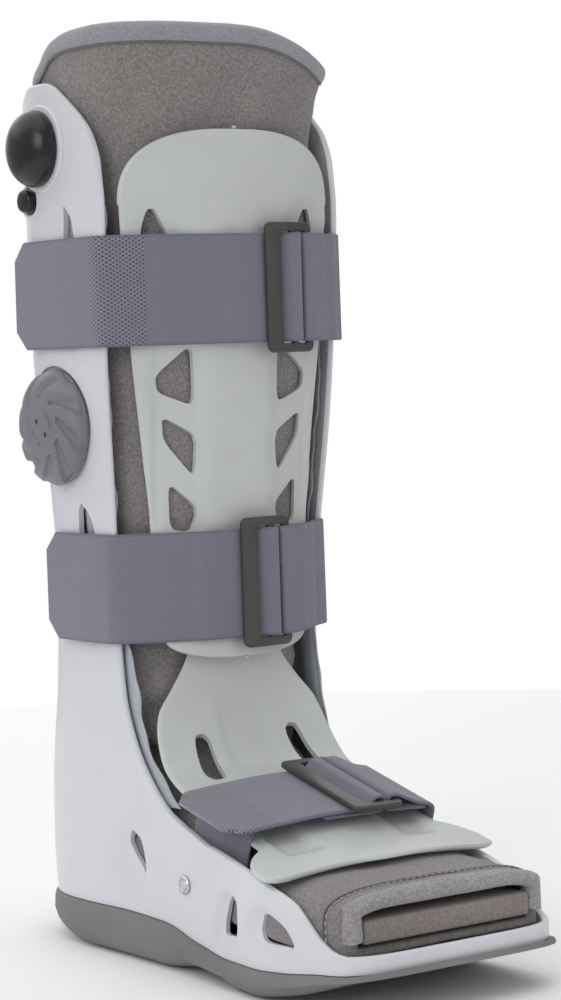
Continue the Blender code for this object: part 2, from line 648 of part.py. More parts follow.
def panel_depth(x, z):
    """Place along Y of the front panel's outer face."""
    spread = CALF_WIDTH / 2 * curve(((0.319, 0.62), (0.547, 0.687), (0.74, 0.812), (0.880, 0.84)), z / HEIGHT)
    return along(PANEL_MIDDLE, z) + PANEL_BOW * (np.abs(x) / spread) ** PANEL_BOW_POWER


# Windows of the front panel's right half, as shares of CALF_WIDTH / 2 and of the height
PANEL_WINDOWS = {
    "window_1": ((-0.70, 0.740), (-0.70, 0.775), (-0.66, 0.794), (-0.61, 0.794), (-0.50, 0.760),
                 (-0.46, 0.740)),
    "window_2": ((-0.605, 0.622), (-0.40, 0.648), (-0.36, 0.643), (-0.352, 0.600), (-0.375, 0.592),
                 (-0.59, 0.605)),
    "window_3": ((-0.56, 0.576), (-0.355, 0.558), (-0.335, 0.548), (-0.345, 0.523), (-0.37, 0.518),
                 (-0.55, 0.552)),
    "window_4": ((-0.52, 0.500), (-0.49, 0.502), (-0.345, 0.482), (-0.335, 0.472), (-0.375, 0.457),
                 (-0.51, 0.460)),
}


def front_panel():
    """The shin plate with its four pairs of windows."""
    grid = []
    for share in PANEL_ROWS:
        z = share * HEIGHT
        spread = CALF_WIDTH / 2 * curve(PANEL_SPREAD, share)
        xs = spread * np.linspace(-1, 1, PANEL_COLUMNS)
        grid.append([(x, panel_depth(x, z), z) for x in xs])
    body = sheet("front_panel", grid, PANEL_WALL, "panel_grey")
    windows = []
    for side, sign in (("right", 1), ("left", -1)):
        for window, outline in PANEL_WINDOWS.items():
            places = [(sign * x * CALF_WIDTH / 2, z * HEIGHT) for x, z in outline]
            windows.append(prism(f"{window}_{side}", places, 1, -0.030, 0.040))
    cut(body, windows)
    return body


# The foot panel's middle line as places along Y and heights, with its half-width as a share of WIDTH / 2
FOOT_PANEL_LINE = ((0.570, 0.350, 0.34), (0.570, 0.318, 0.42), (0.566, 0.290, 0.56), (0.558, 0.262, 0.72),
                   (0.545, 0.237, 0.775), (0.520, 0.212, 0.80), (0.485, 0.197, 0.80), (0.440, 0.186, 0.80),
                   (0.39, 0.176, 0.80), (0.34, 0.166, 0.795), (0.29, 0.1555, 0.795), (0.272, 0.1520, 0.80),
                   (0.258, 0.149, 0.90), (0.24, 0.1455, 0.98), (0.215, 0.141, 1.035), (0.195, 0.1375, 1.04),
                   (0.183, 0.135, 0.99), (0.178, 0.134, 0.90))
FOOT_PANEL_BOW = 0.0035
FOOT_PANEL_COLUMNS = 11
# One window of the foot panel: the middle's place along Y and height, and places across and down the panel
INSTEP_WINDOW_CENTRE = (-0.0015, 0.0935)
INSTEP_WINDOW = ((0.0220, -0.0080), (0.0245, -0.0105), (0.0285, -0.0100), (0.0315, 0.0070), (0.0290, 0.0105),
                 (0.0235, 0.0100))
INSTEP_WINDOW_REACH = 0.010


def foot_panel():
    """The instep plate, which comes out from under the front panel and ends in a broad lip over the toes."""
    table = np.array(FOOT_PANEL_LINE)
    grid = []
    for y, z, spread in table[::-1]:
        spread *= WIDTH / 2
        middle = np.array((TOE_Y + y * LENGTH, z * HEIGHT))
        upright = ease(0.20, 0.28, z)
        row = []
        for x in spread * np.linspace(-1, 1, FOOT_PANEL_COLUMNS):
            drop = FOOT_PANEL_BOW * (abs(x) / (WIDTH / 2)) ** 2.2
            row.append((x, middle[0] + drop * upright, middle[1] - drop * (1 - upright)))
        grid.append(row)
    body = sheet("foot_panel", grid, PANEL_WALL, "panel_grey")
    along_panel, out_of_panel = np.array((0, -0.70, -0.714)), np.array((0, -0.714, 0.70))
    windows = []
    for side, sign in (("right", -1), ("left", 1)):
        places = [np.array((sign * x, *INSTEP_WINDOW_CENTRE)) + along_panel * down for x, down in INSTEP_WINDOW]
        count = len(places)
        points = [p + out_of_panel * out for out in (-INSTEP_WINDOW_REACH, INSTEP_WINDOW_REACH) for p in places]
        faces = [list(range(count)), list(range(count, 2 * count))]
        faces += [[i, (i + 1) % count, count + (i + 1) % count, count + i] for i in range(count)]
        windows.append(solid(f"instep_window_{side}", points, faces, None))
    cut(body, windows)
    return body


def air_cell(name, sign):
    """The edge of an air cell, a thin welded sheet between the shell's side and the liner."""
    grid = []
    for share in np.linspace(0.17, 0.80, 12):
        z = share * HEIGHT
        front = along(FRONT_EDGE, z)
        lead = 0.006 * (1 - ease(0.30, 0.42, share)) - 0.004 * ease(0.30, 0.42, share)
        centre = along(SECTION_CENTRE, z)
        row = []
        for y in np.linspace(front - lead, centre, 5):
            inset = SHELL_WALL + FIT_GAP + 0.0004
            row.append((sign * (half_width(max(y, front), z) - inset), y, z))
        grid.append(row if sign > 0 else row[::-1])
    return sheet(name, grid, AIR_CELL_THICKNESS, "vinyl_clear")


def taut(points):
    """The convex line round the points, anticlockwise from the one that is furthest left and back."""
    points = sorted(set(map(tuple, np.round(points, 7))))

    def half(ordered):
        chain = []
        for p in ordered:
            while len(chain) > 1:
                (ax, ay), (bx, by) = chain[-2], chain[-1]
                if (bx - ax) * (p[1] - ay) - (by - ay) * (p[0] - ax) > 1e-12:
                    break
                chain.pop()
            chain.append(p)
        return chain[:-1]

    chain = half(points) + half(points[::-1])
    start = min(range(len(chain)), key=lambda i: (chain[i][0] - chain[i][1]))
    return np.array(chain[start:] + chain[:start])


CORNER_TURN = 6.0


class Route:
    """A strap's way round the boot: (distance along, distance out) become points of its plane."""

    def __init__(self, line, buckle_x):
        self.line = line
        self.run = np.concatenate([[0], np.cumsum(np.linalg.norm(np.diff(line, axis=0), axis=1))])
        self.at_buckle = float(np.interp(buckle_x, line[:, 0][self.front()], self.run[self.front()]))
        self.origin = self.place(0.0)
        ahead, behind = self.place(0.012), self.place(-0.012)
        self.tangent = (ahead - behind) / np.linalg.norm(ahead - behind)
        self.lift = max(self.height_over(u) for u in (-0.012, -0.006, 0.0, 0.006, 0.012))

    def front(self):
        """The stretch of the line on which X rises."""
        rising = np.concatenate([[False], np.diff(self.line[:, 0]) > 1e-6])
        return rising

    def place(self, u):
        """The point of the taut line at a distance u from the buckle."""
        s = self.at_buckle + u
        return np.array([np.interp(s, self.run, self.line[:, 0]), np.interp(s, self.run, self.line[:, 1])])

    def corners(self):
        """Where the taut line turns by more than a few degrees, as distances from the buckle."""
        run = np.diff(self.line, axis=0)
        run /= np.linalg.norm(run, axis=1)[:, None]
        turning = (run[1:] * run[:-1]).sum(axis=1) < math.cos(math.radians(CORNER_TURN))
        return self.run[1:-1][turning] - self.at_buckle

    def height_over(self, u):
        offset = self.place(u) - self.origin
        return float(offset @ self.outward(self.tangent))

    @staticmethod
    def outward(tangent):
        return np.array([tangent[1], -tangent[0]])

    def point(self, u, n):
        """A point at u along and n out: flat by the buckle, and following the boot away from it."""
        flat = self.origin + self.tangent * u + self.outward(self.tangent) * (n + self.lift)
        ahead, behind = self.place(u + 0.004), self.place(u - 0.004)
        tangent = ahead - behind
        tangent = tangent / max(np.linalg.norm(tangent), 1e-9)
        follow = self.place(u) + self.outward(tangent) * n
        k = ease(0.016, 0.040, abs(u))
        return flat * (1 - k) + follow * k


# Levels of the strap's layers and of the buckle over the boot, and the buckle's bars along the strap
LAYER_1 = FIT_GAP + STRAP_THICKNESS / 2
LAYER_2 = LAYER_1 + STRAP_THICKNESS + 0.0003
BUCKLE_LOW = LAYER_2 + STRAP_THICKNESS / 2 + 0.0004
BUCKLE_HIGH = BUCKLE_LOW + BUCKLE_THICKNESS
LAYER_3 = BUCKLE_HIGH + 0.0004 + STRAP_THICKNESS / 2
BUCKLE_BARS = (-0.01375, -0.00475, 0.00125, 0.00475, 0.00975, 0.01375)
TURN = 0.0003 + STRAP_THICKNESS / 2


def long_strap_turns():
    """The long strap's last stretch: under the wide bar, over the middle bar and back beneath."""
    wide_end, middle, middle_end = BUCKLE_BARS[1], BUCKLE_BARS[2], BUCKLE_BARS[3]
    down = middle_end + TURN
    return [(-0.036, LAYER_1), (-0.031, LAYER_2), (-0.015, LAYER_2), (wide_end + 0.0007, LAYER_2),
            (middle - 0.0016, LAYER_3 - 0.0021), (middle - 0.0010, LAYER_3 - 0.0006), (middle, LAYER_3),
            (middle_end, LAYER_3), (down - 0.0003, LAYER_3 - 0.0004), (down, LAYER_3 - 0.0011),
            (down, LAYER_1 + 0.0011), (down - 0.0004, LAYER_1 + 0.0003), (down - 0.0012, LAYER_1),
            (-0.012, LAYER_1), (-0.026, LAYER_1)]


def short_strap_turns():
    """The short strap's first stretch: from beneath, up through the frame and over the narrow bar."""
    bar, bar_end = BUCKLE_BARS[4], BUCKLE_BARS[5]
    up = bar - TURN
    return [(0.030, LAYER_1), (up + 0.0012, LAYER_1), (up + 0.0004, LAYER_1 + 0.0003), (up, LAYER_1 + 0.0011),
            (up, LAYER_3 - 0.0011), (up + 0.0003, LAYER_3 - 0.0004), (bar, LAYER_3), (bar_end, LAYER_3),
            (bar_end + 0.0012, LAYER_3 - 0.0006), (0.0235, LAYER_2 + 0.0010), (0.026, LAYER_2),
            (0.034, LAYER_2), (0.040, LAYER_1)]


def ribbon(name, path, low, high, plane, material_name="strap_webbing", thickness=STRAP_THICKNESS):
    """A band of webbing along a path in a plane, from low to high across it."""
    origin, right, ahead, across = (np.array(v, float) for v in plane)
    path = np.asarray(path, float)
    run = np.diff(path, axis=0)
    run /= np.linalg.norm(run, axis=1)[:, None]
    before, after = np.vstack([run[:1], run]), np.vstack([run, run[-1:]])
    mean = before + after
    mean /= np.linalg.norm(mean, axis=1)[:, None]
    mitre = 1 / np.clip((mean * after).sum(axis=1), 0.5, 1)
    normal = np.stack([mean[:, 1], -mean[:, 0]], 1) * mitre[:, None] * thickness / 2
    low = np.broadcast_to(low, len(path))
    high = np.broadcast_to(high, len(path))
    points = []
    for p, n, bottom, top in zip(path, normal, low, high):
        for q, level in ((p + n, bottom), (p - n, bottom), (p - n, top), (p + n, top)):
            points.append(origin + right * q[0] + ahead * q[1] + across * level)
    faces = [[0, 1, 2, 3], [4 * len(path) - 4 + i for i in range(4)]]
    for i in range(len(path) - 1):
        for k in range(4):
            a, b = 4 * i + k, 4 * i + (k + 1) % 4
            faces.append([a, b, b + 4, a + 4])
    return solid(name, points, faces, material_name)


def frame_plate(name, route, plane, high, material_name="buckle_plastic"):
    """The buckle: a plate with two slots between a wide bar, a middle bar and a narrow bar."""
    origin, right, ahead, across = (np.array(v, float) for v in plane)
    window = STRAP_WIDTH / 2 + 0.0008
    levels = (-high / 2, -window, window, high / 2)
    slots = {(1, 1), (3, 1)}
    cells = {(i, j) for i in range(5) for j in range(3)} - slots
    points, faces = [], []
    for n in (BUCKLE_LOW, BUCKLE_HIGH):
        for level in levels:
            for u in BUCKLE_BARS:
                q = route.point(u, n)
                points.append(origin + right * q[0] + ahead * q[1] + across * level)

    def vertex(layer, i, j):
        return layer * 24 + j * 6 + i

    for i, j in cells:
        for layer in (0, 1):
            corners = ((i, j), (i + 1, j), (i + 1, j + 1), (i, j + 1))
            faces.append([vertex(layer, *c) for c in corners])
        sides = (((i, j), (i + 1, j), (i, j - 1)), ((i, j + 1), (i + 1, j + 1), (i, j + 1)),
                 ((i, j), (i, j + 1), (i - 1, j)), ((i + 1, j), (i + 1, j + 1), (i + 1, j)))
        for first, second, neighbour in sides:
            if neighbour not in cells:
                faces.append([vertex(0, *first), vertex(0, *second), vertex(1, *second), vertex(1, *first)])
    plate = solid(name, points, faces, material_name, smooth=False)
    bevel = plate.modifiers.new("rounded", "BEVEL")
    bevel.width = 0.0006
    bevel.segments = 1
    bevel.limit_method = "ANGLE"
    return plate


def strap_levels(path, z_middle, chamfer_start, chamfer_end):
    """Lower and upper edge of a band along its path, with corners cut off at the ends that ask for it."""
    run = np.concatenate([[0], np.cumsum(np.linalg.norm(np.diff(path, axis=0), axis=1))])
    half = np.full(len(path), STRAP_WIDTH / 2)
    if chamfer_start:
        half = np.minimum(half, STRAP_WIDTH / 2 - STRAP_CORNER + run)
    if chamfer_end:
        half = np.minimum(half, STRAP_WIDTH / 2 - STRAP_CORNER + (run[-1] - run))
    return z_middle - half, z_middle + half


UPRIGHT_PLANE = ((0, 0, 0), (1, 0, 0), (0, 1, 0), (0, 0, 1))


def calf_route(z_middle, buckle_x):
    """The taut way of a calf strap over the shell's sides and the front panel."""
    points = []
    for z in np.linspace(z_middle - STRAP_WIDTH / 2, z_middle + STRAP_WIDTH / 2, 7):
        front = along(FRONT_EDGE, z)
        for y in np.linspace(front, 0.075, 12):
            x = half_width(min(y, along(SECTION_CENTRE, z)), z)
            points += [(x, y), (-x, y)]
        points += [(CALF_WIDTH / 2 * curve(CALF_SPREAD, z / HEIGHT) * side, 0.094) for side in (-1, 1)]
        spread = CALF_WIDTH / 2 * curve(PANEL_SPREAD, z / HEIGHT)
        for x in np.linspace(-spread, spread, 25):
            points.append((x, panel_depth(x, z)))
    return Route(taut(points), buckle_x)


def sample(route, start, stop, level, step=0.006):
    """Points at one level over the boot, from start to stop along the route."""
    count = max(int(abs(stop - start) / step), 2)
    places = list(np.linspace(start, stop, count + 1))
    for corner in route.corners():
        if start + 0.001 < corner < stop - 0.001:
            places = [u for u in places if abs(u - corner) > 0.002 or u in (places[0], places[-1])] + [corner]
    return [route.point(u, level) for u in sorted(places)]


def calf_strap(name, z_middle, buckle_x, reach_right, reach_left):
    """A calf strap in two bands, and its buckle."""
    route = calf_route(z_middle, buckle_x)
    turns = [route.point(u, n) for u, n in long_strap_turns()]
    path = np.array(sample(route, -reach_right, -0.037, LAYER_1)[:-1] + turns)
    cut_at = path[0] + (path[1] - path[0]) / np.linalg.norm(path[1] - path[0]) * STRAP_CORNER
    path = np.vstack([path[:1], [cut_at], path[2:]])
    low, high = strap_levels(path, z_middle, True, False)
    ribbon(f"{name}_strap_long", path, low, high, UPRIGHT_PLANE)
    turns = [route.point(u, n) for u, n in short_strap_turns()]
    path = np.array(turns + sample(route, 0.042, reach_left, LAYER_1))
    ribbon(f"{name}_strap_short", path, z_middle - STRAP_WIDTH / 2, z_middle + STRAP_WIDTH / 2, UPRIGHT_PLANE)
    plane = ((0, 0, z_middle), (1, 0, 0), (0, 1, 0), (0, 0, 1))
    frame_plate(f"{name}_buckle", route, plane, BUCKLE_HEIGHT)


def foot_strap():
    """The foot strap: an anchor that comes up inside the shell, a long and a short band, and a buckle."""
    slope = FOOT_STRAP_SLOPE
    up = np.array((0.0, -math.sin(slope), math.cos(slope)))
    across = np.array((0.0, math.cos(slope), math.sin(slope)))
    points = []
    table = np.array(FOOT_PANEL_LINE)
    for y, z, spread in table[(table[:, 0] < 0.50) & (table[:, 0] > 0.28)]:
        middle = np.array((0.0, TOE_Y + y * LENGTH, z * HEIGHT))
        spread = min(spread * WIDTH / 2, 0.0473)
        for x in np.linspace(-spread, spread, 21):
            drop = FOOT_PANEL_BOW * (abs(x) / (WIDTH / 2)) ** 2.2
            height = (middle - FOOT_STRAP_CENTRE) @ up - drop
            points.append((x, height))
    side = 0.0478
    points += [(-side, -0.016), (side, -0.016)]
    line = taut([(x, -h) for x, h in points])
    route = Route(line, FOOT_BUCKLE_X)
    plane = (FOOT_STRAP_CENTRE, (1, 0, 0), -up, across)
    half = STRAP_WIDTH / 2

    anchor = np.array(sample(route, 0.001 - route.at_buckle, -0.040, LAYER_1))
    ribbon("foot_strap_anchor", anchor, -half + 0.004, half - 0.004, plane)
    turns = [(u, n if u > -0.028 or n > LAYER_1 + 1e-6 else LAYER_2) for u, n in long_strap_turns()]
    turns = [route.point(u, n) for u, n in turns]
    start = route.point(-0.057, LAYER_2)
    direction = start - route.point(-0.053, LAYER_2)
    direction /= np.linalg.norm(direction)
    tab = [start + direction * reach for reach in (FOOT_TAB, FOOT_TAB - STRAP_CORNER, 0.005)]
    path = np.array(tab + [start] + sample(route, -0.050, -0.037, LAYER_2, 0.004)[:-1] + turns)
    low, high = strap_levels(path, 0.0, True, False)
    ribbon("foot_strap_long", path, low, high, plane)
    turns = [route.point(u, n) for u, n in short_strap_turns()]
    reach = route.run[-1] - route.at_buckle - 0.001
    path = np.array(turns + sample(route, 0.042, reach, LAYER_1, 0.004)[1:])
    ribbon("foot_strap_short", path, -half, half, plane)
    frame_plate("foot_buckle", route, plane, BUCKLE_HEIGHT)


def valves_and_dial():
    """The pump bulb, the release button and the cell selector on the boot's right side."""
    gap = FIT_GAP
    base = BULB_BOSS_LEVEL + gap
    steps = np.linspace(0, math.pi / 2, 7)[:-1]
    dome = [(base, BULB_RADIUS)] + [(base + 0.002 + (BULB_DEPTH - 0.002) * math.sin(t), BULB_RADIUS * math.cos(t))
                                    for t in steps]
    turned("bulb", dome + [(base + BULB_DEPTH, 0.0035)], BULB_CENTRE, "bulb_rubber", 28)
    base = VALVE_POCKET_LEVEL + gap + VALVE_TRAVEL
    button = ((base, VALVE_RADIUS), (base + 0.0050, VALVE_RADIUS), (base + 0.0060, VALVE_RADIUS - 0.0010))
    turned("valve_button", button, VALVE_CENTRE, "bulb_rubber", 20)
    base = DIAL_DISH_LEVEL + gap
    profile = ((base, DIAL_RADIUS - 0.002), (base + 0.0015, DIAL_RADIUS), (base + 0.0075, DIAL_RADIUS - 0.0005),
               (base + 0.0110, DIAL_RADIUS - 0.0045), (base + DIAL_DEPTH, DIAL_RADIUS - 0.0130))
    turned("selector_dial", profile, DIAL_CENTRE, "dial_plastic", 32)


def screws():
    """The snap screw low on each side of the shell."""
    for side, sign in (("right", 1), ("left", -1)):
        x = half_width(SCREW_CENTRE_Y, SCREW_CENTRE_Z) + FIT_GAP
        profile = [(sign * out, radius) for out, radius in ((0.0, SCREW_RADIUS), (0.0006, SCREW_RADIUS),
                                                            (0.0011, SCREW_RADIUS - 0.0009))]
        centre = (-sign * x, SCREW_CENTRE_Y, SCREW_CENTRE_Z)
        turned(f"side_screw_{side}", profile, centre, "screw_metal", 16)


def main():
    for obj in list(bpy.data.objects):
        bpy.data.objects.remove(obj, do_unlink=True)
    sole()
    shell()
    liner()
    footbed()
    front_panel()
    foot_panel()
    air_cell("air_cell_right", -1)
    air_cell("air_cell_left", 1)
    calf_strap("top", TOP_STRAP_Z, TOP_BUCKLE_X, TOP_REACH_RIGHT, TOP_REACH_LEFT)
    calf_strap("middle", MIDDLE_STRAP_Z, MIDDLE_BUCKLE_X, MIDDLE_REACH_RIGHT, MIDDLE_REACH_LEFT)
    foot_strap()
    valves_and_dial()
    screws()


main()
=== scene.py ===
"""The walking boot dressed for its render: fine surfaces, cloth, webbing, plastics, studio light and camera.

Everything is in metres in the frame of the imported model: +Z up, toe towards -Y, bulb and dial on the -X side.
"""

import math

import bmesh
import bpy
import numpy as np
from mathutils import Matrix


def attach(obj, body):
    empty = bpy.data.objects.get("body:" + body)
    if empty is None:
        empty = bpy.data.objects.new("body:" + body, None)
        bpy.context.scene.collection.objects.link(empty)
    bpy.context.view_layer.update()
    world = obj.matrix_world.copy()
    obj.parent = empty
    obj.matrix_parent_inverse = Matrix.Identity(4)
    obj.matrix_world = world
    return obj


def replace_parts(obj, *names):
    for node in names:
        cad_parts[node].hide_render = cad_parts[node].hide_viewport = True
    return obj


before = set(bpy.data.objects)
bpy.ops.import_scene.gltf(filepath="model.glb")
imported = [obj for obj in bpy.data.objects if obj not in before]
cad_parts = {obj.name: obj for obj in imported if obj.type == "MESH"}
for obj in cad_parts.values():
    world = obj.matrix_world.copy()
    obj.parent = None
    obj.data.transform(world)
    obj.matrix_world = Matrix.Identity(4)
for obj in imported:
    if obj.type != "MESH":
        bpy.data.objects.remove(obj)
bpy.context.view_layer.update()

HEIGHT = 0.430
LENGTH = 0.282
WIDTH = 0.118
CALF_WIDTH = 0.134
TOE_Y = -0.147

SHELL_WALL = 0.003
PANEL_WALL = 0.0025
LINER_WALL = 0.006
LINER_FLOOR = 0.0035
LINER_CLEARANCE = 0.0028
FIT_GAP = 0.0004
STRAP_WIDTH = 0.050
STRAP_THICKNESS = 0.0016
BUCKLE_THICKNESS = 0.0026
BUCKLE_HEIGHT = 0.0600
FOOT_STRAP_CENTRE = (0.0, -0.0445, 0.0725)
FOOT_STRAP_SLOPE = math.radians(14.3)
DIAL_CENTRE = (-0.0640, 0.0585, 0.2450)
BULB_CENTRE = (-0.0665, 0.0590, 0.3730)
BULB_RADIUS = 0.0175
VALVE_CENTRE = (-0.0640, 0.0725, 0.3500)
TOP_STRAP_Z = 0.306
MIDDLE_STRAP_Z = 0.171
TOP_BUCKLE_X = 0.0240
MIDDLE_BUCKLE_X = 0.0080
FOOT_BUCKLE_X = 0.0135
FOOT_TAB = 0.0185
FOLD_DEPTH = 0.0013
FLAP_SAG = 0.0095
SCREW_CENTRE = (-0.0185, 0.0405)

# Shares of HEIGHT up, of LENGTH from the toe along Y, and of half a width across, as in the solids
CALF_SPREAD = ((0.05, 0.79), (0.17, 0.83), (0.27, 0.85), (0.38, 0.865), (0.44, 0.89), (0.50, 0.92),
               (0.58, 0.963), (0.64, 0.985), (0.70, 0.993), (0.80, 1.005), (1.0, 1.01))
SECTION_CENTRE = ((0.05, 0.748), (0.10, 0.748), (0.17, 0.741), (0.21, 0.730), (0.27, 0.713), (0.33, 0.706),
                  (0.44, 0.699), (0.50, 0.699), (0.58, 0.706), (0.64, 0.711), (0.70, 0.713), (1.0, 0.706))
BACK = ((0.03, 0.977), (0.06, 0.985), (0.11, 0.996), (0.17, 0.990), (0.21, 0.975), (0.27, 0.947),
        (0.33, 0.933), (0.38, 0.922), (0.44, 0.911), (0.50, 0.911), (0.58, 0.926), (0.64, 0.931),
        (0.70, 0.933), (0.80, 0.929), (0.94, 0.918))
FRONT_EDGE = ((0.140, 0.387), (0.165, 0.500), (0.186, 0.539), (0.221, 0.578), (0.251, 0.597),
              (0.281, 0.610), (0.340, 0.617), (0.395, 0.613), (0.451, 0.606), (0.547, 0.592),
              (0.640, 0.582), (0.698, 0.576), (0.802, 0.566), (0.851, 0.574))
FOOT_SPREAD = ((0.0, 1.0), (0.17, 1.0), (0.31, 0.958), (0.41, 0.915), (0.52, 0.898), (0.63, 0.898),
               (0.75, 0.91), (1.0, 0.91))
FOOT_RIM = ((0.0, 0.0616), (0.025, 0.0616), (0.046, 0.065), (0.071, 0.073), (0.142, 0.105), (0.21, 0.1175),
            (0.273, 0.127), (0.344, 0.136), (0.387, 0.140))
SEAM = ((0.0, 0.0465), (0.064, 0.044), (0.167, 0.035), (0.266, 0.030), (0.33, 0.030), (0.426, 0.037),
        (0.52, 0.049), (0.63, 0.051), (0.73, 0.050), (1.0, 0.0465))
WALKING_FACE = ((-0.01, 0.041), (0.064, 0.030), (0.13, 0.0165), (0.20, 0.006), (0.255, 0.0), (0.74, 0.0),
                (0.80, 0.003), (0.88, 0.012), (1.01, 0.026))
TOP_RIM = ((0.574, 0.851), (0.582, 0.865), (0.596, 0.881), (0.617, 0.895), (0.670, 0.921), (0.692, 0.930),
           (0.720, 0.935), (0.766, 0.935), (0.80, 0.926), (0.86, 0.902), (0.94, 0.874))
TOE_CORNER = 5.0
REAR_CORNER = 2.4
LOW_RIM = 0.140 * HEIGHT
UPRIGHT_TOP = 0.814 * HEIGHT
FRONT_TUCK = 0.022
TOE_ARC_Y = TOE_Y + 0.131 * LENGTH
SHELL_HOLES = {
    "upper_slot": ((0.671, 0.800), (0.650, 0.785), (0.642, 0.76), (0.642, 0.68), (0.652, 0.67), (0.668, 0.67),
                   (0.678, 0.68), (0.678, 0.76)),
    "lower_slot": ((0.685, 0.483), (0.663, 0.470), (0.653, 0.45), (0.655, 0.37), (0.666, 0.355),
                   (0.690, 0.355),
                   (0.701, 0.37), (0.703, 0.45), (0.698, 0.475)),
    "heel_window": ((0.612, 0.138), (0.588, 0.130), (0.579, 0.115), (0.576, 0.096), (0.600, 0.103),
                    (0.620, 0.113), (0.631, 0.124)),
    "arch_window": ((0.317, 0.095), (0.298, 0.091), (0.300, 0.057), (0.350, 0.054), (0.347, 0.068),
                    (0.335, 0.086)),
    "toe_window": ((0.208, 0.0885), (0.163, 0.080), (0.141, 0.067), (0.146, 0.0615), (0.228, 0.059),
                   (0.236, 0.070), (0.226, 0.084)),
}
INSTEP = ((0.043, 0.119), (0.096, 0.120), (0.18, 0.123), (0.27, 0.137), (0.36, 0.154), (0.43, 0.168),
          (0.49, 0.179), (0.545, 0.202))
ANKLE_Y = TOE_Y + 0.562 * LENGTH
ANKLE_Z = 0.228 * HEIGHT
CALF_FRONT = ((0.228, 0.562), (0.25, 0.576), (0.30, 0.588), (0.34, 0.585), (0.38, 0.573), (0.47, 0.563),
              (0.55, 0.555), (0.65, 0.546), (0.79, 0.538), (0.888, 0.5345), (0.925, 0.515), (0.96, 0.504),
              (1.0, 0.500))
CALF_MIDDLE = ((0.30, 0.72), (0.80, 0.713), (1.0, 0.693))
LINER_BACK_TOP = TOE_Y + 0.872 * LENGTH
LINER_TOP = 0.991
LINER_TOP_DIP = 0.014
LINER_BOTTOM = 0.0250
HEEL_CORNER = 6.0
PANEL_SPREAD = ((0.319, 0.30), (0.322, 0.40), (0.330, 0.50), (0.342, 0.555), (0.358, 0.585), (0.40, 0.605),
                (0.467, 0.636), (0.547, 0.687), (0.647, 0.761), (0.74, 0.812), (0.81, 0.833),
                (0.837, 0.823), (0.854, 0.77), (0.864, 0.70), (0.873, 0.60), (0.878, 0.48), (0.880, 0.38))
PANEL_MIDDLE = ((0.319, 0.533), (0.40, 0.544), (0.467, 0.541), (0.55, 0.535), (0.65, 0.528), (0.79, 0.5215),
                (0.880, 0.518))
PANEL_BOW = 0.0085
PANEL_BOW_POWER = 2.5
PANEL_WINDOWS = {
    "window_1": ((-0.70, 0.740), (-0.70, 0.775), (-0.66, 0.794), (-0.61, 0.794), (-0.50, 0.760),
                 (-0.46, 0.740)),
    "window_2": ((-0.605, 0.622), (-0.40, 0.648), (-0.36, 0.643), (-0.352, 0.600), (-0.375, 0.592),
                 (-0.59, 0.605)),
    "window_3": ((-0.56, 0.576), (-0.355, 0.558), (-0.335, 0.548), (-0.345, 0.523), (-0.37, 0.518),
                 (-0.55, 0.552)),
    "window_4": ((-0.52, 0.500), (-0.49, 0.502), (-0.345, 0.482), (-0.335, 0.472), (-0.375, 0.457),
                 (-0.51, 0.460)),
}
FOOT_PANEL_LINE = ((0.570, 0.350, 0.34), (0.570, 0.318, 0.42), (0.566, 0.290, 0.56), (0.558, 0.262, 0.72),
                   (0.545, 0.237, 0.775), (0.520, 0.212, 0.80), (0.485, 0.197, 0.80), (0.440, 0.186, 0.80),
                   (0.39, 0.176, 0.80), (0.34, 0.166, 0.795), (0.29, 0.1555, 0.795), (0.272, 0.1520, 0.80),
                   (0.258, 0.149, 0.90), (0.24, 0.1455, 0.98), (0.215, 0.141, 1.035), (0.195, 0.1375, 1.04),
                   (0.183, 0.135, 0.99), (0.178, 0.134, 0.90))
FOOT_PANEL_BOW = 0.0035
INSTEP_WINDOW_CENTRE = (-0.0015, 0.0935)
INSTEP_WINDOW = ((0.0220, -0.0080), (0.0245, -0.0105), (0.0285, -0.0100), (0.0315, 0.0070),
                 (0.0290, 0.0105), (0.0235, 0.0100))


def curve(table, at):
    """The smooth monotone curve through the table's points, level past its ends."""
    xs, ys = np.array(table, float).T
    step = np.diff(xs)
    slope = np.diff(ys) / step
    tangent = np.zeros_like(ys)
    tangent[0], tangent[-1] = slope[0], slope[-1]
    for i in range(1, len(xs) - 1):
        if slope[i - 1] * slope[i] > 0:
            before, after = 2 * step[i] + step[i - 1], step[i] + 2 * step[i - 1]
            tangent[i] = (before + after) / (before / slope[i - 1] + after / slope[i])
    at = np.clip(at, xs[0], xs[-1])
    i = np.clip(np.searchsorted(xs, at, side="right") - 1, 0, len(step) - 1)
    t = (at - xs[i]) / step[i]
    start = (1 + 2 * t) * (1 - t) ** 2 * ys[i] + t * (1 - t) ** 2 * step[i] * tangent[i]
    return start + t * t * (3 - 2 * t) * ys[i + 1] + t * t * (t - 1) * step[i] * tangent[i + 1]


def ease(low, high, at):
    """0 below low, 1 above high, and a smooth step between."""
    t = np.clip((at - low) / (high - low), 0, 1)
    return t * t * (3 - 2 * t)


def along(table, z):
    """A place along Y from a table of shares by height."""
    return TOE_Y + LENGTH * curve(table, z / HEIGHT)


def height_of(table, y):
    """A height from a table of shares by place along Y."""
    return HEIGHT * curve(table, (y - TOE_Y) / LENGTH)


def round_corner(angle, power):
    """A point on the unit superellipse in the direction of the angle."""
    c, s = abs(math.cos(angle)), abs(math.sin(angle))
    scale = (c**power + s**power) ** (1 / power)
    return c / scale, s / scale


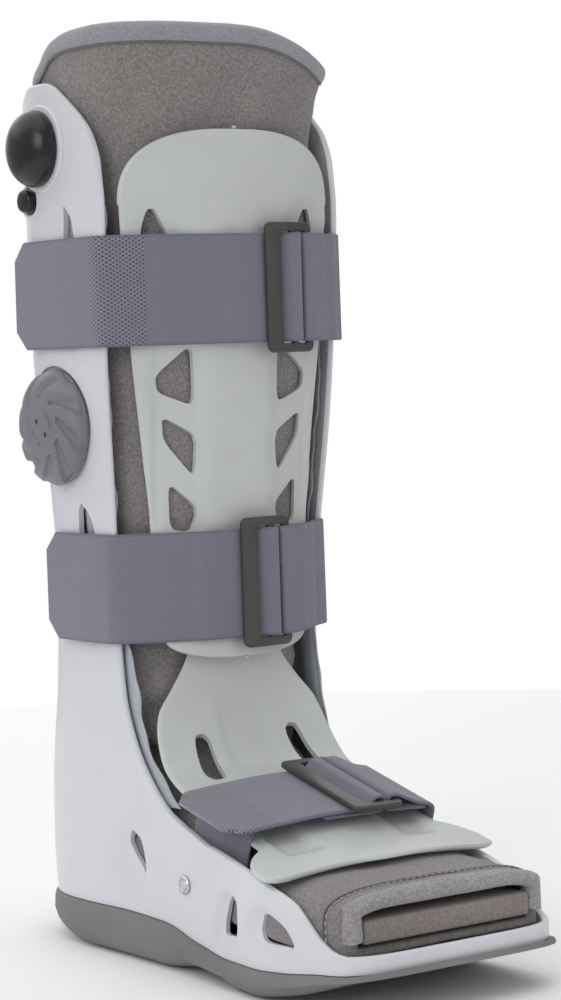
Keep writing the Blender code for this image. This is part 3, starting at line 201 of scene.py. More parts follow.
def half_width(y, z):
    """Outer half-width of the shell's side at a place and height."""
    foot = WIDTH / 2 * curve(FOOT_SPREAD, (y - TOE_Y) / LENGTH)
    centre, edge = along(SECTION_CENTRE, z), along(FRONT_EDGE, z)
    tuck = np.clip((centre - y) / (centre - edge), 0, 1) ** 2 * FRONT_TUCK
    calf = CALF_WIDTH / 2 * curve(CALF_SPREAD, z / HEIGHT) * (1 - tuck)
    return foot + (calf - foot) * ease(0.125 * HEIGHT, 0.26 * HEIGHT, z)


def ripple(points, scale, seed):
    """A smooth pseudo-random value between about -1 and 1 at each point, from sums of sines."""
    points = np.asarray(points, float)
    rng = np.random.default_rng(seed)
    total = np.zeros(points.shape[:-1])
    for _ in range(9):
        direction = rng.normal(size=3)
        direction /= np.linalg.norm(direction)
        total += np.sin(points @ direction * 2 * math.pi / scale * rng.uniform(0.6, 1.5) + rng.uniform(0,
                                                                                                       6.283))
    return total / 4


def smooth_loop(outline, rounds=2, grow=1.0):
    """A closed outline with its corners cut again and again, so that it comes out round."""
    points = np.array(outline, float)
    points = points.mean(axis=0) + (points - points.mean(axis=0)) * grow
    for _ in range(rounds):
        ahead = np.roll(points, -1, axis=0)
        points = np.stack([points * 0.84 + ahead * 0.16, points * 0.16 + ahead * 0.84], 1).reshape(-1, 2)
    return points


def outline_distance(outline, u, v):
    """Distance from each place to a closed outline, less than zero inside it."""
    shape = np.shape(u)
    place = np.stack([np.ravel(u), np.ravel(v)], 1)
    best = np.full(len(place), 1e9)
    inside = np.zeros(len(place), bool)
    for a, b in zip(outline, np.roll(outline, -1, axis=0)):
        run = b - a
        t = np.clip(((place - a) @ run) / (run @ run), 0, 1)
        best = np.minimum(best, np.linalg.norm(place - a - t[:, None] * run, axis=1))
        crosses = (a[1] > place[:, 1]) != (b[1] > place[:, 1])
        if a[1] != b[1]:
            x_there = a[0] + (place[:, 1] - a[1]) / (b[1] - a[1]) * run[0]
            inside ^= crosses & (place[:, 0] < x_there)
    return (np.where(inside, -1, 1) * best).reshape(shape)


# Materials


def new_material(name, colour, roughness, metallic=0.0, **sockets):
    """A material with a Principled BSDF, and its node tree for more."""
    made = bpy.data.materials.new(name)
    made.use_nodes = True
    shader = made.node_tree.nodes["Principled BSDF"]
    shader.inputs["Base Color"].default_value = (*colour, 1)
    shader.inputs["Roughness"].default_value = roughness
    shader.inputs["Metallic"].default_value = metallic
    for socket, value in sockets.items():
        shader.inputs[socket.replace("_", " ")].default_value = value
    return made


class Tree:
    """Short calls for the nodes of a material."""

    def __init__(self, made):
        self.nodes, self.links = made.node_tree.nodes, made.node_tree.links
        self.shader = self.nodes["Principled BSDF"]

    def node(self, kind, inputs=(), **settings):
        made = self.nodes.new(kind)
        for key, value in settings.items():
            setattr(made, key, value)
        for socket, value in dict(inputs).items():
            target = made.inputs[socket]
            if isinstance(value, bpy.types.NodeSocket):
                self.links.new(value, target)
            else:
                target.default_value = value
        return made

    def noise(self, vector, scale, detail=2.0, roughness=0.5):
        made = self.node("ShaderNodeTexNoise", {"Vector": vector, "Scale": scale, "Detail": detail,
                                                "Roughness": roughness})
        return made.outputs["Fac"]

    def math(self, operation, first, second=0.0, third=0.0):
        made = self.node("ShaderNodeMath", {0: first, 1: second, 2: third}, operation=operation)
        return made.outputs[0]

    def ramp(self, factor, stops):
        made = self.node("ShaderNodeValToRGB", {"Fac": factor})
        elements = made.color_ramp.elements
        elements[0].position, elements[-1].position = stops[0][0], stops[-1][0]
        elements[0].color, elements[-1].color = (*stops[0][1], 1), (*stops[-1][1], 1)
        for place, colour in stops[1:-1]:
            elements.new(place).color = (*colour, 1)
        return made.outputs["Color"]

    def mix(self, factor, first, second, blend="MIX"):
        made = self.node("ShaderNodeMix", {0: factor, 6: first, 7: second}, data_type="RGBA",
                         blend_type=blend)
        return made.outputs[2]

    def bump(self, height, strength, distance, normal=None):
        inputs = {"Height": height, "Strength": strength, "Distance": distance}
        if normal is not None:
            inputs["Normal"] = normal
        return self.node("ShaderNodeBump", inputs).outputs["Normal"]

    def place(self):
        return self.node("ShaderNodeTexCoord").outputs["Object"]

    def uv(self):
        return self.node("ShaderNodeTexCoord").outputs["UV"]

    def to(self, socket, value):
        self.links.new(value, self.shader.inputs[socket])


def plastic(name, colour, roughness, grain=0.05, mottle=0.02, scuff=0.08, **sockets):
    """Moulded plastic: a fine grain, a slight mottle and small differences in gloss."""
    made = new_material(name, colour, roughness, **sockets)
    tree = Tree(made)
    place = tree.place()
    cloudy = tree.noise(place, 22.0, 3.0)
    darker = tuple(c * (1 - 2 * mottle) for c in colour)
    lighter = tuple(min(c * (1 + mottle), 1.0) for c in colour)
    tree.to("Base Color", tree.ramp(cloudy, ((0.3, darker), (0.7, lighter))))
    rubbed = tree.noise(place, 160.0, 4.0, 0.7)
    tree.to("Roughness", tree.math("MULTIPLY_ADD", rubbed, scuff, roughness - scuff / 2))
    tree.to("Normal", tree.bump(tree.noise(place, 2600.0, 2.0), grain, 0.0002))
    return made


def heathered(name, dark, middle, light, scale=620.0, bump=0.55, sheen=0.25):
    """Brushed cloth of mixed light and dark fibres."""
    made = new_material(name, middle, 0.95, Sheen_Weight=sheen, Sheen_Roughness=0.6, Specular_IOR_Level=0.15)
    tree = Tree(made)
    place = tree.place()
    fibres = tree.noise(place, scale, 4.0, 0.75)
    colour = tree.ramp(fibres, ((0.36, dark), (0.5, middle), (0.66, light)))
    wide = tree.ramp(tree.noise(place, 26.0, 2.0), ((0.3, (0.86, 0.86, 0.86)), (0.7, (1.0, 1.0, 1.0))))
    tree.to("Base Color", tree.mix(1.0, colour, wide, "MULTIPLY"))
    fuzz = tree.noise(place, scale * 1.6, 5.0, 0.8)
    tree.to("Normal", tree.bump(fuzz, bump, 0.0007))
    return made


def build_materials():
    """All the materials of the boot by name."""
    kinds = {
        "shell": plastic("white_plastic", (0.69, 0.705, 0.745), 0.34, Specular_IOR_Level=0.45),
        "panel": plastic("panel_plastic", (0.58, 0.605, 0.59), 0.36, Specular_IOR_Level=0.4),
        "buckle": plastic("buckle_plastic_satin", (0.058, 0.055, 0.052), 0.36, 0.10, 0.05, 0.10),
        "bulb": plastic("bulb_rubber_satin", (0.010, 0.010, 0.010), 0.30, 0.04, 0.05, 0.05),
        "dial": plastic("dial_plastic_matt", (0.20, 0.207, 0.23), 0.42, 0.12, 0.05, 0.08),
        # near-black painted shade for the walls of the dial's two holes, given to their cutters
        "dark": plastic("painted_hole_shade", (0.02, 0.02, 0.022), 0.6),
        "sole": plastic("sole_rubber_matt", (0.205, 0.205, 0.203), 0.72, 0.30, 0.06, 0.05),
        "metal": new_material("eyelet_metal", (0.62, 0.62, 0.64), 0.28, 1.0),
        "liner": heathered("liner_cloth", (0.175, 0.163, 0.158), (0.255, 0.24, 0.233), (0.36, 0.342, 0.334),
                           900.0, 0.35, 0.2),
        "binding": heathered("binding_cloth", (0.26, 0.266, 0.295), (0.33, 0.337, 0.37),
                             (0.40, 0.407, 0.44), 1100.0, 0.3),
        "foam": heathered("taupe_foam", (0.20, 0.178, 0.168), (0.27, 0.24, 0.227), (0.34, 0.305, 0.29),
                          1100.0, 0.3, 0.1),
        "flap": heathered("flap_edge_cloth", (0.25, 0.242, 0.242), (0.34, 0.33, 0.33), (0.45, 0.44, 0.44),
                          700.0, 0.5),
        "seam": heathered("seam_cord", (0.10, 0.092, 0.09), (0.16, 0.15, 0.145), (0.25, 0.235, 0.23),
                          1500.0, 0.5),
        "thread": plastic("grey_thread", (0.42, 0.41, 0.42), 0.7, 0.2),
    }
    kinds["vinyl"] = new_material("clear_vinyl", (0.80, 0.83, 0.90), 0.09, Transmission_Weight=0.55, IOR=1.45,
                                  Specular_IOR_Level=0.8, Coat_Weight=0.6, Coat_Roughness=0.05)
    return kinds


def webbing(name, open_from, open_to, tab_to, ribbed_from):
    """Woven strap: a fine twill, an open zone of dots, a tab's holes and a ribbed end, by distance along."""
    colour = (0.185, 0.185, 0.265)
    made = new_material(name, colour, 0.85, Sheen_Weight=0.35, Sheen_Roughness=0.5, Specular_IOR_Level=0.2)
    tree = Tree(made)
    parts = tree.node("ShaderNodeSeparateXYZ", {0: tree.uv()})
    run, across = parts.outputs[0], parts.outputs[1]
    wander = tree.math("MULTIPLY", tree.noise(tree.uv(), 240.0, 2.0), 0.0022)
    twill = tree.math("SINE", tree.math("MULTIPLY_ADD",
                                        tree.math("ADD", run, tree.math("MULTIPLY", across, 0.8)),
                                        2 * math.pi / 0.00105,
                                        tree.math("MULTIPLY", wander, 2 * math.pi / 0.0020)))
    cross = tree.math("SINE", tree.math("MULTIPLY", across, 2 * math.pi / 0.0008))
    weave = tree.math("MULTIPLY_ADD", tree.math("MULTIPLY", twill, cross), 0.25, 0.5)
    weave = tree.math("ADD", weave, tree.math("MULTIPLY", twill, 0.14))

    dot_run = tree.math("SINE", tree.math("MULTIPLY", run, 2 * math.pi / 0.0030))
    dot_across = tree.math("SINE", tree.math("MULTIPLY", across, 2 * math.pi / 0.0019))
    dots = tree.math("GREATER_THAN", tree.math("MULTIPLY", dot_run, dot_across), 0.25)

    def between(low, high):
        return tree.math("MULTIPLY", tree.math("GREATER_THAN", run, low), tree.math("LESS_THAN", run, high))

    zone = tree.math("MAXIMUM", between(open_from, open_to), between(-1.0, tab_to))
    holes = tree.math("MULTIPLY", dots, zone)
    ribs = tree.math("SINE", tree.math("MULTIPLY", run, 2 * math.pi / 0.0016))
    ribbed = tree.math("MULTIPLY", tree.math("GREATER_THAN", run, ribbed_from),
                       tree.math("MULTIPLY_ADD", ribs, 0.5, 0.5))
    fibre = tree.noise(tree.uv(), 2600.0, 3.0, 0.7)
    shade = tree.math("ADD", weave, tree.math("MULTIPLY_ADD", fibre, 0.5, -0.25))
    tone = tree.ramp(shade, ((0.15, (0.125, 0.125, 0.17)), (0.5, (0.205, 0.205, 0.265)),
                             (0.88, (0.30, 0.30, 0.37))))
    tone = tree.mix(tree.math("MULTIPLY", zone, 0.35), tone, (0.31, 0.31, 0.38, 1))
    tone = tree.mix(tree.math("MULTIPLY", holes, 0.85), tone, (0.06, 0.06, 0.085, 1))
    tone = tree.mix(tree.math("MULTIPLY", ribbed, 0.45), tone, (0.075, 0.075, 0.105, 1))
    edge = tree.math("GREATER_THAN", tree.math("ABSOLUTE", across), STRAP_WIDTH / 2 - 0.0011)
    tone = tree.mix(tree.math("MULTIPLY", edge, 0.35), tone, (0.10, 0.10, 0.14, 1))
    tree.to("Base Color", tone)
    height = tree.math("SUBTRACT", shade, tree.math("MULTIPLY", holes, 1.3))
    height = tree.math("SUBTRACT", height, tree.math("MULTIPLY", ribbed, 0.6))
    tree.to("Normal", tree.bump(height, 0.6, 0.0005))
    return made


# Meshes


def mesh_piece(name, points, faces, material, smooth_angle=40.0):
    """A new object of the scene from points and faces, turned outwards and shaded smooth up to an angle."""
    mesh = bpy.data.meshes.new(name)
    mesh.from_pydata([tuple(map(float, p)) for p in points], [], [tuple(map(int, f)) for f in faces])
    tidy(mesh)
    mesh.shade_smooth()
    mesh.set_sharp_from_angle(angle=math.radians(smooth_angle))
    mesh.materials.append(material)
    obj = bpy.data.objects.new(name, mesh)
    bpy.context.scene.collection.objects.link(obj)
    return obj


def tidy(mesh):
    """Merges doubled points and turns the faces outwards."""
    edit = bmesh.new()
    edit.from_mesh(mesh)
    bmesh.ops.remove_doubles(edit, verts=edit.verts, dist=2e-6)
    bmesh.ops.dissolve_degenerate(edit, edges=edit.edges, dist=1e-7)
    bmesh.ops.recalc_face_normals(edit, faces=edit.faces)
    edit.to_mesh(mesh)
    edit.free()


def bake(obj, smooth_angle=None):
    """The object with its modifiers applied."""
    graph = bpy.context.evaluated_depsgraph_get()
    mesh = bpy.data.meshes.new_from_object(obj.evaluated_get(graph))
    obj.modifiers.clear()
    obj.data = mesh
    if smooth_angle is not None:
        mesh.shade_smooth()
        mesh.set_sharp_from_angle(angle=math.radians(smooth_angle))
    return obj


def carve(obj, cutters, smooth_angle=40.0):
    """Takes the cutters out of the object and removes them."""
    for cutter in cutters:
        modifier = obj.modifiers.new(cutter.name, "BOOLEAN")
        modifier.operation = "DIFFERENCE"
        modifier.object = cutter
    bake(obj, smooth_angle)
    for cutter in cutters:
        bpy.data.objects.remove(cutter, do_unlink=True)
    return obj


def prism(name, outline, axis, low, high, material):
    """A straight prism over a closed outline, given in the two coordinates other than the axis."""
    count = len(outline)
    points = []
    for level in (low, high):
        for a, b in outline:
            point = [a, b]
            point.insert(axis, level)
            points.append(point)
    faces = [[i, (i + 1) % count, count + (i + 1) % count, count + i] for i in range(count)]
    faces += [list(range(count))[::-1], list(range(count, 2 * count))]
    return mesh_piece(name, points, faces, material)


def turned(name, profile, centre, material, count=64, angle=40.0, shape=None):
    """A body turned about an axis along X: points are (distance out, radius); shape alters the radius."""
    points, faces = [], []
    for out, radius in profile:
        for i in range(count):
            turn = 2 * math.pi * i / count
            here = radius if shape is None else shape(radius, out, turn)
            points.append((centre[0] - out, centre[1] + here * math.cos(turn),
                           centre[2] + here * math.sin(turn)))
    for ring in range(len(profile) - 1):
        for i in range(count):
            a, b = ring * count + i, ring * count + (i + 1) % count
            faces.append((a, b, b + count, a + count))
    faces.append(tuple(range(count)))
    faces.append(tuple(range((len(profile) - 1) * count, len(profile) * count)))
    return mesh_piece(name, points, faces, material, angle)


def plate(name, grid, wall, material, shift=None, rim=0.5, steps=5):
    """A plate from a grid of points on its outer face, with a round edge; shift moves points inwards."""
    grid = np.asarray(grid, float)
    rows, columns = grid.shape[:2]
    normal = np.cross(np.gradient(grid, axis=1), np.gradient(grid, axis=0))
    normal /= np.linalg.norm(normal, axis=2)[:, :, None]
    if ((grid - (0.0, 0.06, 0.05)) * normal).sum() < 0:
        normal = -normal
    outer = grid - normal * (0 if shift is None else shift[:, :, None])
    inner = outer - normal * wall
    points = list(outer.reshape(-1, 3)) + list(inner.reshape(-1, 3))
    size = rows * columns
    faces = []
    for base in (0, size):
        for r in range(rows - 1):
            for c in range(columns - 1):
                a = base + r * columns + c
                faces.append([a, a + 1, a + 1 + columns, a + columns])
    edge = [(0, c) for c in range(columns)] + [(r, columns - 1) for r in range(1, rows)]
    edge += [(rows - 1, c) for c in range(columns - 2, -1, -1)] + [(r, 0) for r in range(rows - 2, 0, -1)]
    strips = []
    for r, c in edge:
        back = np.array((r, c)) + [(1 if r == 0 else -1 if r == rows - 1 else 0),
                                   (1 if c == 0 else -1 if c == columns - 1 else 0)]
        away = outer[r, c] - outer[tuple(back)]
        away /= max(np.linalg.norm(away), 1e-9)
        strip = [r * columns + c]
        for k in range(1, steps):
            t = k / steps
            bulge = math.sin(math.pi * t) * wall * rim
            strip.append(len(points))
            points.append(outer[r, c] * (1 - t) + inner[r, c] * t + away * bulge)
        strip.append(size + r * columns + c)
        strips.append(strip)
    for first, second in zip(strips, strips[1:] + strips[:1]):
        for k in range(steps):
            faces.append([first[k], second[k], second[k + 1], first[k + 1]])
    return mesh_piece(name, points, faces, material, 60.0)


def plan_normals(line):
    """Outward normals of half an outline, from the toe's side round to the heel, mirrored at X = 0."""
    line = np.asarray(line)
    first = [(-line[1][0], line[1][1])] if abs(line[0][0]) < 1e-9 else [2 * line[0] - line[1]]
    last = [(-line[-2][0], line[-2][1])]
    padded = np.vstack([first, line, last])
    run = padded[2:] - padded[:-2]
    run /= np.linalg.norm(run, axis=1)[:, None]
    return np.stack([run[:, 1], -run[:, 0]], 1)


def mirrored(points, faces):
    """The points and faces with their mirror images across X = 0."""
    points = np.asarray(points)
    count = len(points)
    return (np.vstack([points, points * (-1, 1, 1)]),
            faces + [[count + i for i in face[::-1]] for face in faces])


# The shell and the sole

TOE_STEPS, SIDE_STEPS, UPRIGHT_STEPS, REAR_STEPS = 20, 44, 26, 26
LOW_ROWS = 16
UPRIGHT_ROWS = 84
TOP_ROWS = 14


def upright_line(z, front):
    """Half the shell's outline at a height, from its front edge to the heel."""
    centre = along(SECTION_CENTRE, z)
    line = [(half_width(y, z), y) for y in np.linspace(front, centre, UPRIGHT_STEPS + 1)]
    spread, depth = half_width(centre, z), along(BACK, z) - centre
    for angle in np.linspace(0, math.pi / 2, REAR_STEPS + 1)[1:]:
        c, s = round_corner(angle, REAR_CORNER)
        line.append((spread * c, centre + depth * s))
    line[-1] = (0.0, line[-1][1])
    return line


def foot_line(z):
    """Half the foot's outline at a height, from the middle of the toe to the heel."""
    line = []
    for angle in np.linspace(math.pi / 2, 0, TOE_STEPS + 1):
        c, s = round_corner(angle, TOE_CORNER)
        line.append((WIDTH / 2 * c, TOE_ARC_Y + (TOE_Y - TOE_ARC_Y) * s))
    line[0] = (0.0, TOE_Y)
    front = along(FRONT_EDGE, LOW_RIM)
    for y in np.linspace(TOE_ARC_Y, front, SIDE_STEPS + 1)[1:]:
        line.append((half_width(y, z), y))
    return line + upright_line(z, front)[1:]


# Scoops beside the shell's windows: the window, how far the scoop reaches behind and below it, and its depth
SCOOPS = (("heel_window", 0.015, 0.020, 0.0032), ("arch_window", 0.008, 0.006, 0.0030),
          ("toe_window", 0.012, 0.006, 0.0030), ("upper_slot", 0.006, 0.006, 0.0010),
          ("lower_slot", 0.006, 0.006, 0.0010))


def window_outline(name, rounds=2):
    places = [(TOE_Y + LENGTH * y, HEIGHT * z) for y, z in SHELL_HOLES[name]]
    return smooth_loop(places, rounds, 1.1)


def dent(y, z):
    """How far the shell's side is pressed in at a place, behind and below its windows."""
    total = np.zeros(np.shape(y))
    for name, behind, below, depth in SCOOPS:
        outline = window_outline(name, 1)
        beside = np.clip(y - outline[:, 0].min(), 0, None)
        away = outline_distance(outline, y - behind * 0.45, z + below * 0.35)
        reach = 0.5 * (behind + below)
        amount = 1 - ease(-0.2 * reach, reach * 0.75, away)
        total = np.maximum(total, depth * amount * ease(0.0, 0.004, beside))
    return total


def shell(kinds):
    """The white shell in one piece: a round rim, windows with scooped sides, bosses and the dial's seat."""
    corner = TOE_STEPS + SIDE_STEPS
    columns = corner + UPRIGHT_STEPS + REAR_STEPS
    rows = []
    for row in range(LOW_ROWS + 1):
        line = np.array(foot_line(LOW_RIM * 0.5 + LOW_RIM * 0.5 * row / LOW_ROWS))
        rim = np.where(np.arange(columns + 1) <= corner, height_of(FOOT_RIM, line[:, 1]), LOW_RIM)
        rows.append((line, rim, row / LOW_ROWS))
    for step in range(1, UPRIGHT_ROWS + 1):
        z = LOW_RIM + (UPRIGHT_TOP - LOW_RIM) * step / UPRIGHT_ROWS
        line = np.array(upright_line(z, along(FRONT_EDGE, z)))
        rows.append((line, np.full(len(line), z), None))
    top_edge = np.array(upright_line(UPRIGHT_TOP, along(FRONT_EDGE, 0.851 * HEIGHT)))
    for row in range(1, TOP_ROWS + 1):
        part = row / TOP_ROWS
        line = rows[LOW_ROWS + UPRIGHT_ROWS][0] * (1 - part) + top_edge * part
        z = UPRIGHT_TOP + (height_of(TOP_RIM, top_edge[:, 1]) - UPRIGHT_TOP) * part
        rows.append((line, z, None))

    points, index = [], {}
    for side, offset in (("out", 0.0), ("in", SHELL_WALL)):
        for r, (line, height, part) in enumerate(rows):
            normal = plan_normals(line)
            base = height_of(SEAM, line[:, 1]) + offset
            z = height if part is None else base + (height - base) * part
            pressed = dent(line[:, 1], z)
            place = line - normal * (offset + pressed * (1.0 if side == "out" else 0.7))[:, None]
            for j in range(len(line)):
                column = j if r <= LOW_ROWS else j + corner
                index[side, r, column] = len(points)
                points.append((0.0 if column in (0, columns) else place[j][0], place[j][1], z[j]))
    for side in ("out", "in"):
        for j in range(columns + 1):
            x, y, z = points[index[side, 0, j]]
            index[side, "middle", j] = len(points)
            points.append((0.0, y, z))
    faces = []
    last = len(rows) - 1
    for side in ("out", "in"):
        for r in range(last):
            for j in range(0 if r < LOW_ROWS else corner, columns):
                faces.append([index[side, r, j], index[side, r, j + 1], index[side, r + 1, j + 1],
                              index[side, r + 1, j]])
        for j in range(columns):
            faces.append([index[side, 0, j], index[side, 0, j + 1], index[side, "middle", j + 1],
                          index[side, "middle", j]])
    edge = [(LOW_ROWS, j, LOW_ROWS - 1, j) for j in range(corner)]
    edge += [(LOW_ROWS, corner, LOW_ROWS - 1, corner + 1)]
    edge += [(r, corner, r, corner + 1) for r in range(LOW_ROWS + 1, last)]
    edge += [(last, corner, last - 1, corner + 1)]
    edge += [(last, j, last - 1, j) for j in range(corner + 1, columns + 1)]
    steps = 4
    strips = []
    for r, j, back_r, back_j in edge:
        outer, inner = np.array(points[index["out", r, j]]), np.array(points[index["in", r, j]])
        away = outer - np.array(points[index["out", back_r, back_j]])
        away /= np.linalg.norm(away)
        strip = [index["out", r, j]]
        for k in range(1, steps):
            t = k / steps
            strip.append(len(points))
            place = outer * (1 - t) + inner * t + away * math.sin(math.pi * t) ** 0.7 * SHELL_WALL * 0.28
            points.append((0.0 if j in (0, columns) else place[0], place[1], place[2]))
        strips.append(strip + [index["in", r, j]])
    for first, second in zip(strips, strips[1:]):
        for k in range(steps):
            faces.append([first[k], second[k], second[k + 1], first[k + 1]])
    points, faces = mirrored(points, faces)
    body = mesh_piece("shell_moulding", points, faces, kinds["shell"])
    cutters = []
    for side, sign in (("right", -1), ("left", 1)):
        low, high = sorted((sign * 0.030, sign * 0.080))
        for hole in SHELL_HOLES:
            cutters.append(prism(f"{hole}_{side}", window_outline(hole), 0, low, high, kinds["shell"]))
    cutters.append(turned("dial_dish", ((-0.0010, 0.0282), (0.0100, 0.0290)), DIAL_CENTRE, kinds["shell"]))
    cutters.append(turned("valve_pocket", ((0.0, 0.0064), (0.0100, 0.0064)), VALVE_CENTRE, kinds["shell"]))
    carve(body, cutters, 38.0)
    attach(body, "boot")
    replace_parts(body, "shell")
    collar = turned("bulb_collar", ((-0.0060, 0.0203), (0.0010, 0.0203), (0.0020, 0.0200), (0.0026, 0.0194),
                                    (0.0026, 0.0178)), BULB_CENTRE, kinds["shell"], 96)
    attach(collar, "boot")
    boss = turned("valve_collar", ((-0.0060, 0.0092), (0.0015, 0.0088), (0.0026, 0.0082), (0.0030, 0.0075),
                                   (0.0026, 0.0066), (-0.0008, 0.0064)), VALVE_CENTRE, kinds["shell"], 64)
    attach(boss, "boot")
    return body


def sole(kinds):
    """The rocker sole with a round lower edge."""
    line = np.array(foot_line(0.0))
    normal = plan_normals(line)
    seam = height_of(SEAM, line[:, 1]) - FIT_GAP
    floor = height_of(WALKING_FACE, line[:, 1])
    waist = ease(0.30, 0.38, (line[:, 1] - TOE_Y) / LENGTH) - ease(0.44, 0.53, (line[:, 1] - TOE_Y) / LENGTH)
    lift = 0.0035 * waist
    profile = ((-0.0010, seam), (0.0012, seam), (0.0022, seam - 0.0008), (0.0027, seam * 0.8 + floor * 0.2),
               (0.0030, seam * 0.45 + floor * 0.55), (0.0022, floor + 0.0040 + lift),
               (0.0008, floor + 0.0022 + lift),
               (-0.0012, floor + 0.0010 + lift), (-0.0050, floor + lift * 0.9), (-0.0120, floor + lift * 0.5),
               (-0.0220, floor), (-0.0340, floor))
    rings = []
    for spread, height in profile:
        ring = line + normal * spread
        ring[:, 0] = np.maximum(ring[:, 0], 0.0)
        ring[0, 0] = ring[-1, 0] = 0.0
        rings.append([(x, y, z) for (x, y), z in zip(ring, height)])
    columns = len(line)
    points = [p for ring in rings for p in ring]
    points += [(0.0, y, z) for x, y, z in rings[0]] + [(0.0, y, z) for x, y, z in rings[-1]]
    faces = []
    for r in range(len(rings) - 1):
        for j in range(columns - 1):
            a = r * columns + j
            faces.append([a, a + 1, a + 1 + columns, a + columns])
    for ring, middle in ((0, len(rings)), (len(rings) - 1, len(rings) + 1)):
        for j in range(columns - 1):
            a, b = ring * columns + j, middle * columns + j
            faces.append([a, a + 1, b + 1, b])
    points, faces = mirrored(points, faces)
    body = mesh_piece("sole_moulding", points, faces, kinds["sole"], 50.0)
    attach(body, "boot")
    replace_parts(body, "sole")
    return body


# The liner


def boot_ring(near, far, spread, middle, inset, power_near, power_far, count):
    """One ring of the liner: a rounded section from its near side, at the front, to its far side."""
    near, far = np.array(near, float), np.array(far, float)
    run = far - near
    reach = np.linalg.norm(run)
    run /= reach
    centre = near + run * reach * middle
    ring = []
    for i in range(count):
        angle = 2 * math.pi * i / count
        ahead = math.cos(angle) > 0
        c, s = round_corner(angle, power_near if ahead else power_far)
        depth = (reach * middle if ahead else reach * (1 - middle)) - (inset[0] if ahead else inset[1])
        y, z = centre - run * depth * c if ahead else centre + run * depth * c
        ring.append((math.copysign(s, math.sin(angle)) * (spread - inset[0]), y, z))
    return ring


def toe_room(y):
    """Half the room between the shell's walls near the toe's round corners."""
    t = np.clip((TOE_ARC_Y - y) / (TOE_ARC_Y - TOE_Y - SHELL_WALL - LINER_CLEARANCE), 0, 1)
    return (WIDTH / 2 - SHELL_WALL - FIT_GAP) * (1 - t**TOE_CORNER) ** (1 / TOE_CORNER)


def held_in(ring, inset):
    """The ring with its points kept inside the round back of the shell."""
    kept = []
    clearance = SHELL_WALL + LINER_CLEARANCE / 2
    for x, y, z in ring:
        centre = along(SECTION_CENTRE, z)
        t = np.clip((y - centre) / (along(BACK, z) - clearance - centre), 0, 1)
        room = (half_width(centre, z) - clearance) * (1 - t**REAR_CORNER) ** (1 / REAR_CORNER)
        kept.append((math.copysign(min(abs(x), max(room - inset, 0.2 * abs(x))), x), y, z))
    return kept


def top_dip(angle):
    """How much the soft top edge dips, by the angle round from the front: most at two opposite corners."""
    first = math.exp(-((math.degrees(angle) - 50) / 24) ** 2)
    second = math.exp(-((math.degrees(angle) - 238) / 22) ** 2)
    return 0.14 + 1.15 * first + 1.1 * second


RING_POINTS = 120


def liner_rings(inset_side, inset_sole):
    """The liner's rings from its open toe round the ankle to its open top."""
    rings = []
    wall_clearance = SHELL_WALL + LINER_CLEARANCE
    for share in np.linspace(0.043, 0.545, 44):
        y = TOE_Y + share * LENGTH
        top = HEIGHT * curve(INSTEP, share)
        bottom = max(LINER_BOTTOM, height_of(SEAM, y) + SHELL_WALL + FIT_GAP)
        snug = 1 - ease(0.20, 0.28, share)
        spread = half_width(y, 0.0) - wall_clearance + (LINER_CLEARANCE - 0.0006) * snug
        ring = boot_ring((y, top), (y, bottom), spread, 0.62, (inset_side, inset_sole), 2.8 + 1.2 * snug,
                         12.0,
                         RING_POINTS)
        rings.append([(math.copysign(min(abs(x), toe_room(py) - inset_side), x), py, pz) for x, py,
                      pz in ring])
    heel_y, heel_z = along(BACK, 0.1 * HEIGHT) - wall_clearance, LINER_BOTTOM
    ankle_steps = 26
    for step in range(1, ankle_steps):
        turn = step / ankle_steps * math.pi / 2
        reach_down, reach_back = ANKLE_Z - heel_z, heel_y - ANKLE_Y
        c, s = math.cos(turn), math.sin(turn)
        reach = 1 / ((c / reach_down) ** HEEL_CORNER + (s / reach_back) ** HEEL_CORNER) ** (1 / HEEL_CORNER)
        far = (ANKLE_Y + reach * s, ANKLE_Z - reach * c)
        near = (ANKLE_Y - 0.0048 * (1 - s), ANKLE_Z - 0.0105 * (1 - s))
        middle_y = (near[0] + far[0]) / 2
        spread = half_width(min(middle_y, along(SECTION_CENTRE, far[1])),
                            (near[1] + far[1]) / 2) - wall_clearance
        power = 12.0 - 9.5 * math.sqrt(step / ankle_steps)
        inset = inset_sole + (inset_side - inset_sole) * s
        ring = boot_ring(near, far, spread, 0.60, (inset_side, inset), 2.9, power, RING_POINTS)
        rings.append(held_in(ring, inset_side))
    for share in np.linspace(0.228, LINER_TOP, 90):
        z = share * HEIGHT
        front = along(CALF_FRONT, z)
        back = along(BACK, z) - wall_clearance
        back += (LINER_BACK_TOP - back) * ease(0.93, 1.0, share)
        middle = along(CALF_MIDDLE, z)
        spread = half_width(along(SECTION_CENTRE, z), z) - wall_clearance + 0.003 * ease(0.95, 1.0, share)
        power = 2.9 + 0.3 * ease(0.25, 0.45, share) + 0.6 * ease(0.92, 0.98, share)
        ring = boot_ring((front, z), (back, z), spread, (middle - front) / (back - front),
                         (inset_side, inset_side), power, 2.5, RING_POINTS)
        dip = LINER_TOP_DIP * ease(0.80, 1.0, share)
        ring = held_in(ring, inset_side)
        rings.append([(x, y, z - dip * top_dip(2 * math.pi * i / RING_POINTS)) for i,
                      (x, y, z) in enumerate(ring)])
    return np.array(rings)


def loft(name, rings, material, closed=True, angle=50.0):
    """A surface through rings of points; closed rings wrap round."""
    rings = np.asarray(rings, float)
    count, around = rings.shape[:2]
    faces = []
    for r in range(count - 1):
        for i in range(around if closed else around - 1):
            a, b = r * around + i, r * around + (i + 1) % around
            faces.append([a, b, b + around, a + around])
    return mesh_piece(name, rings.reshape(-1, 3), faces, material, angle)


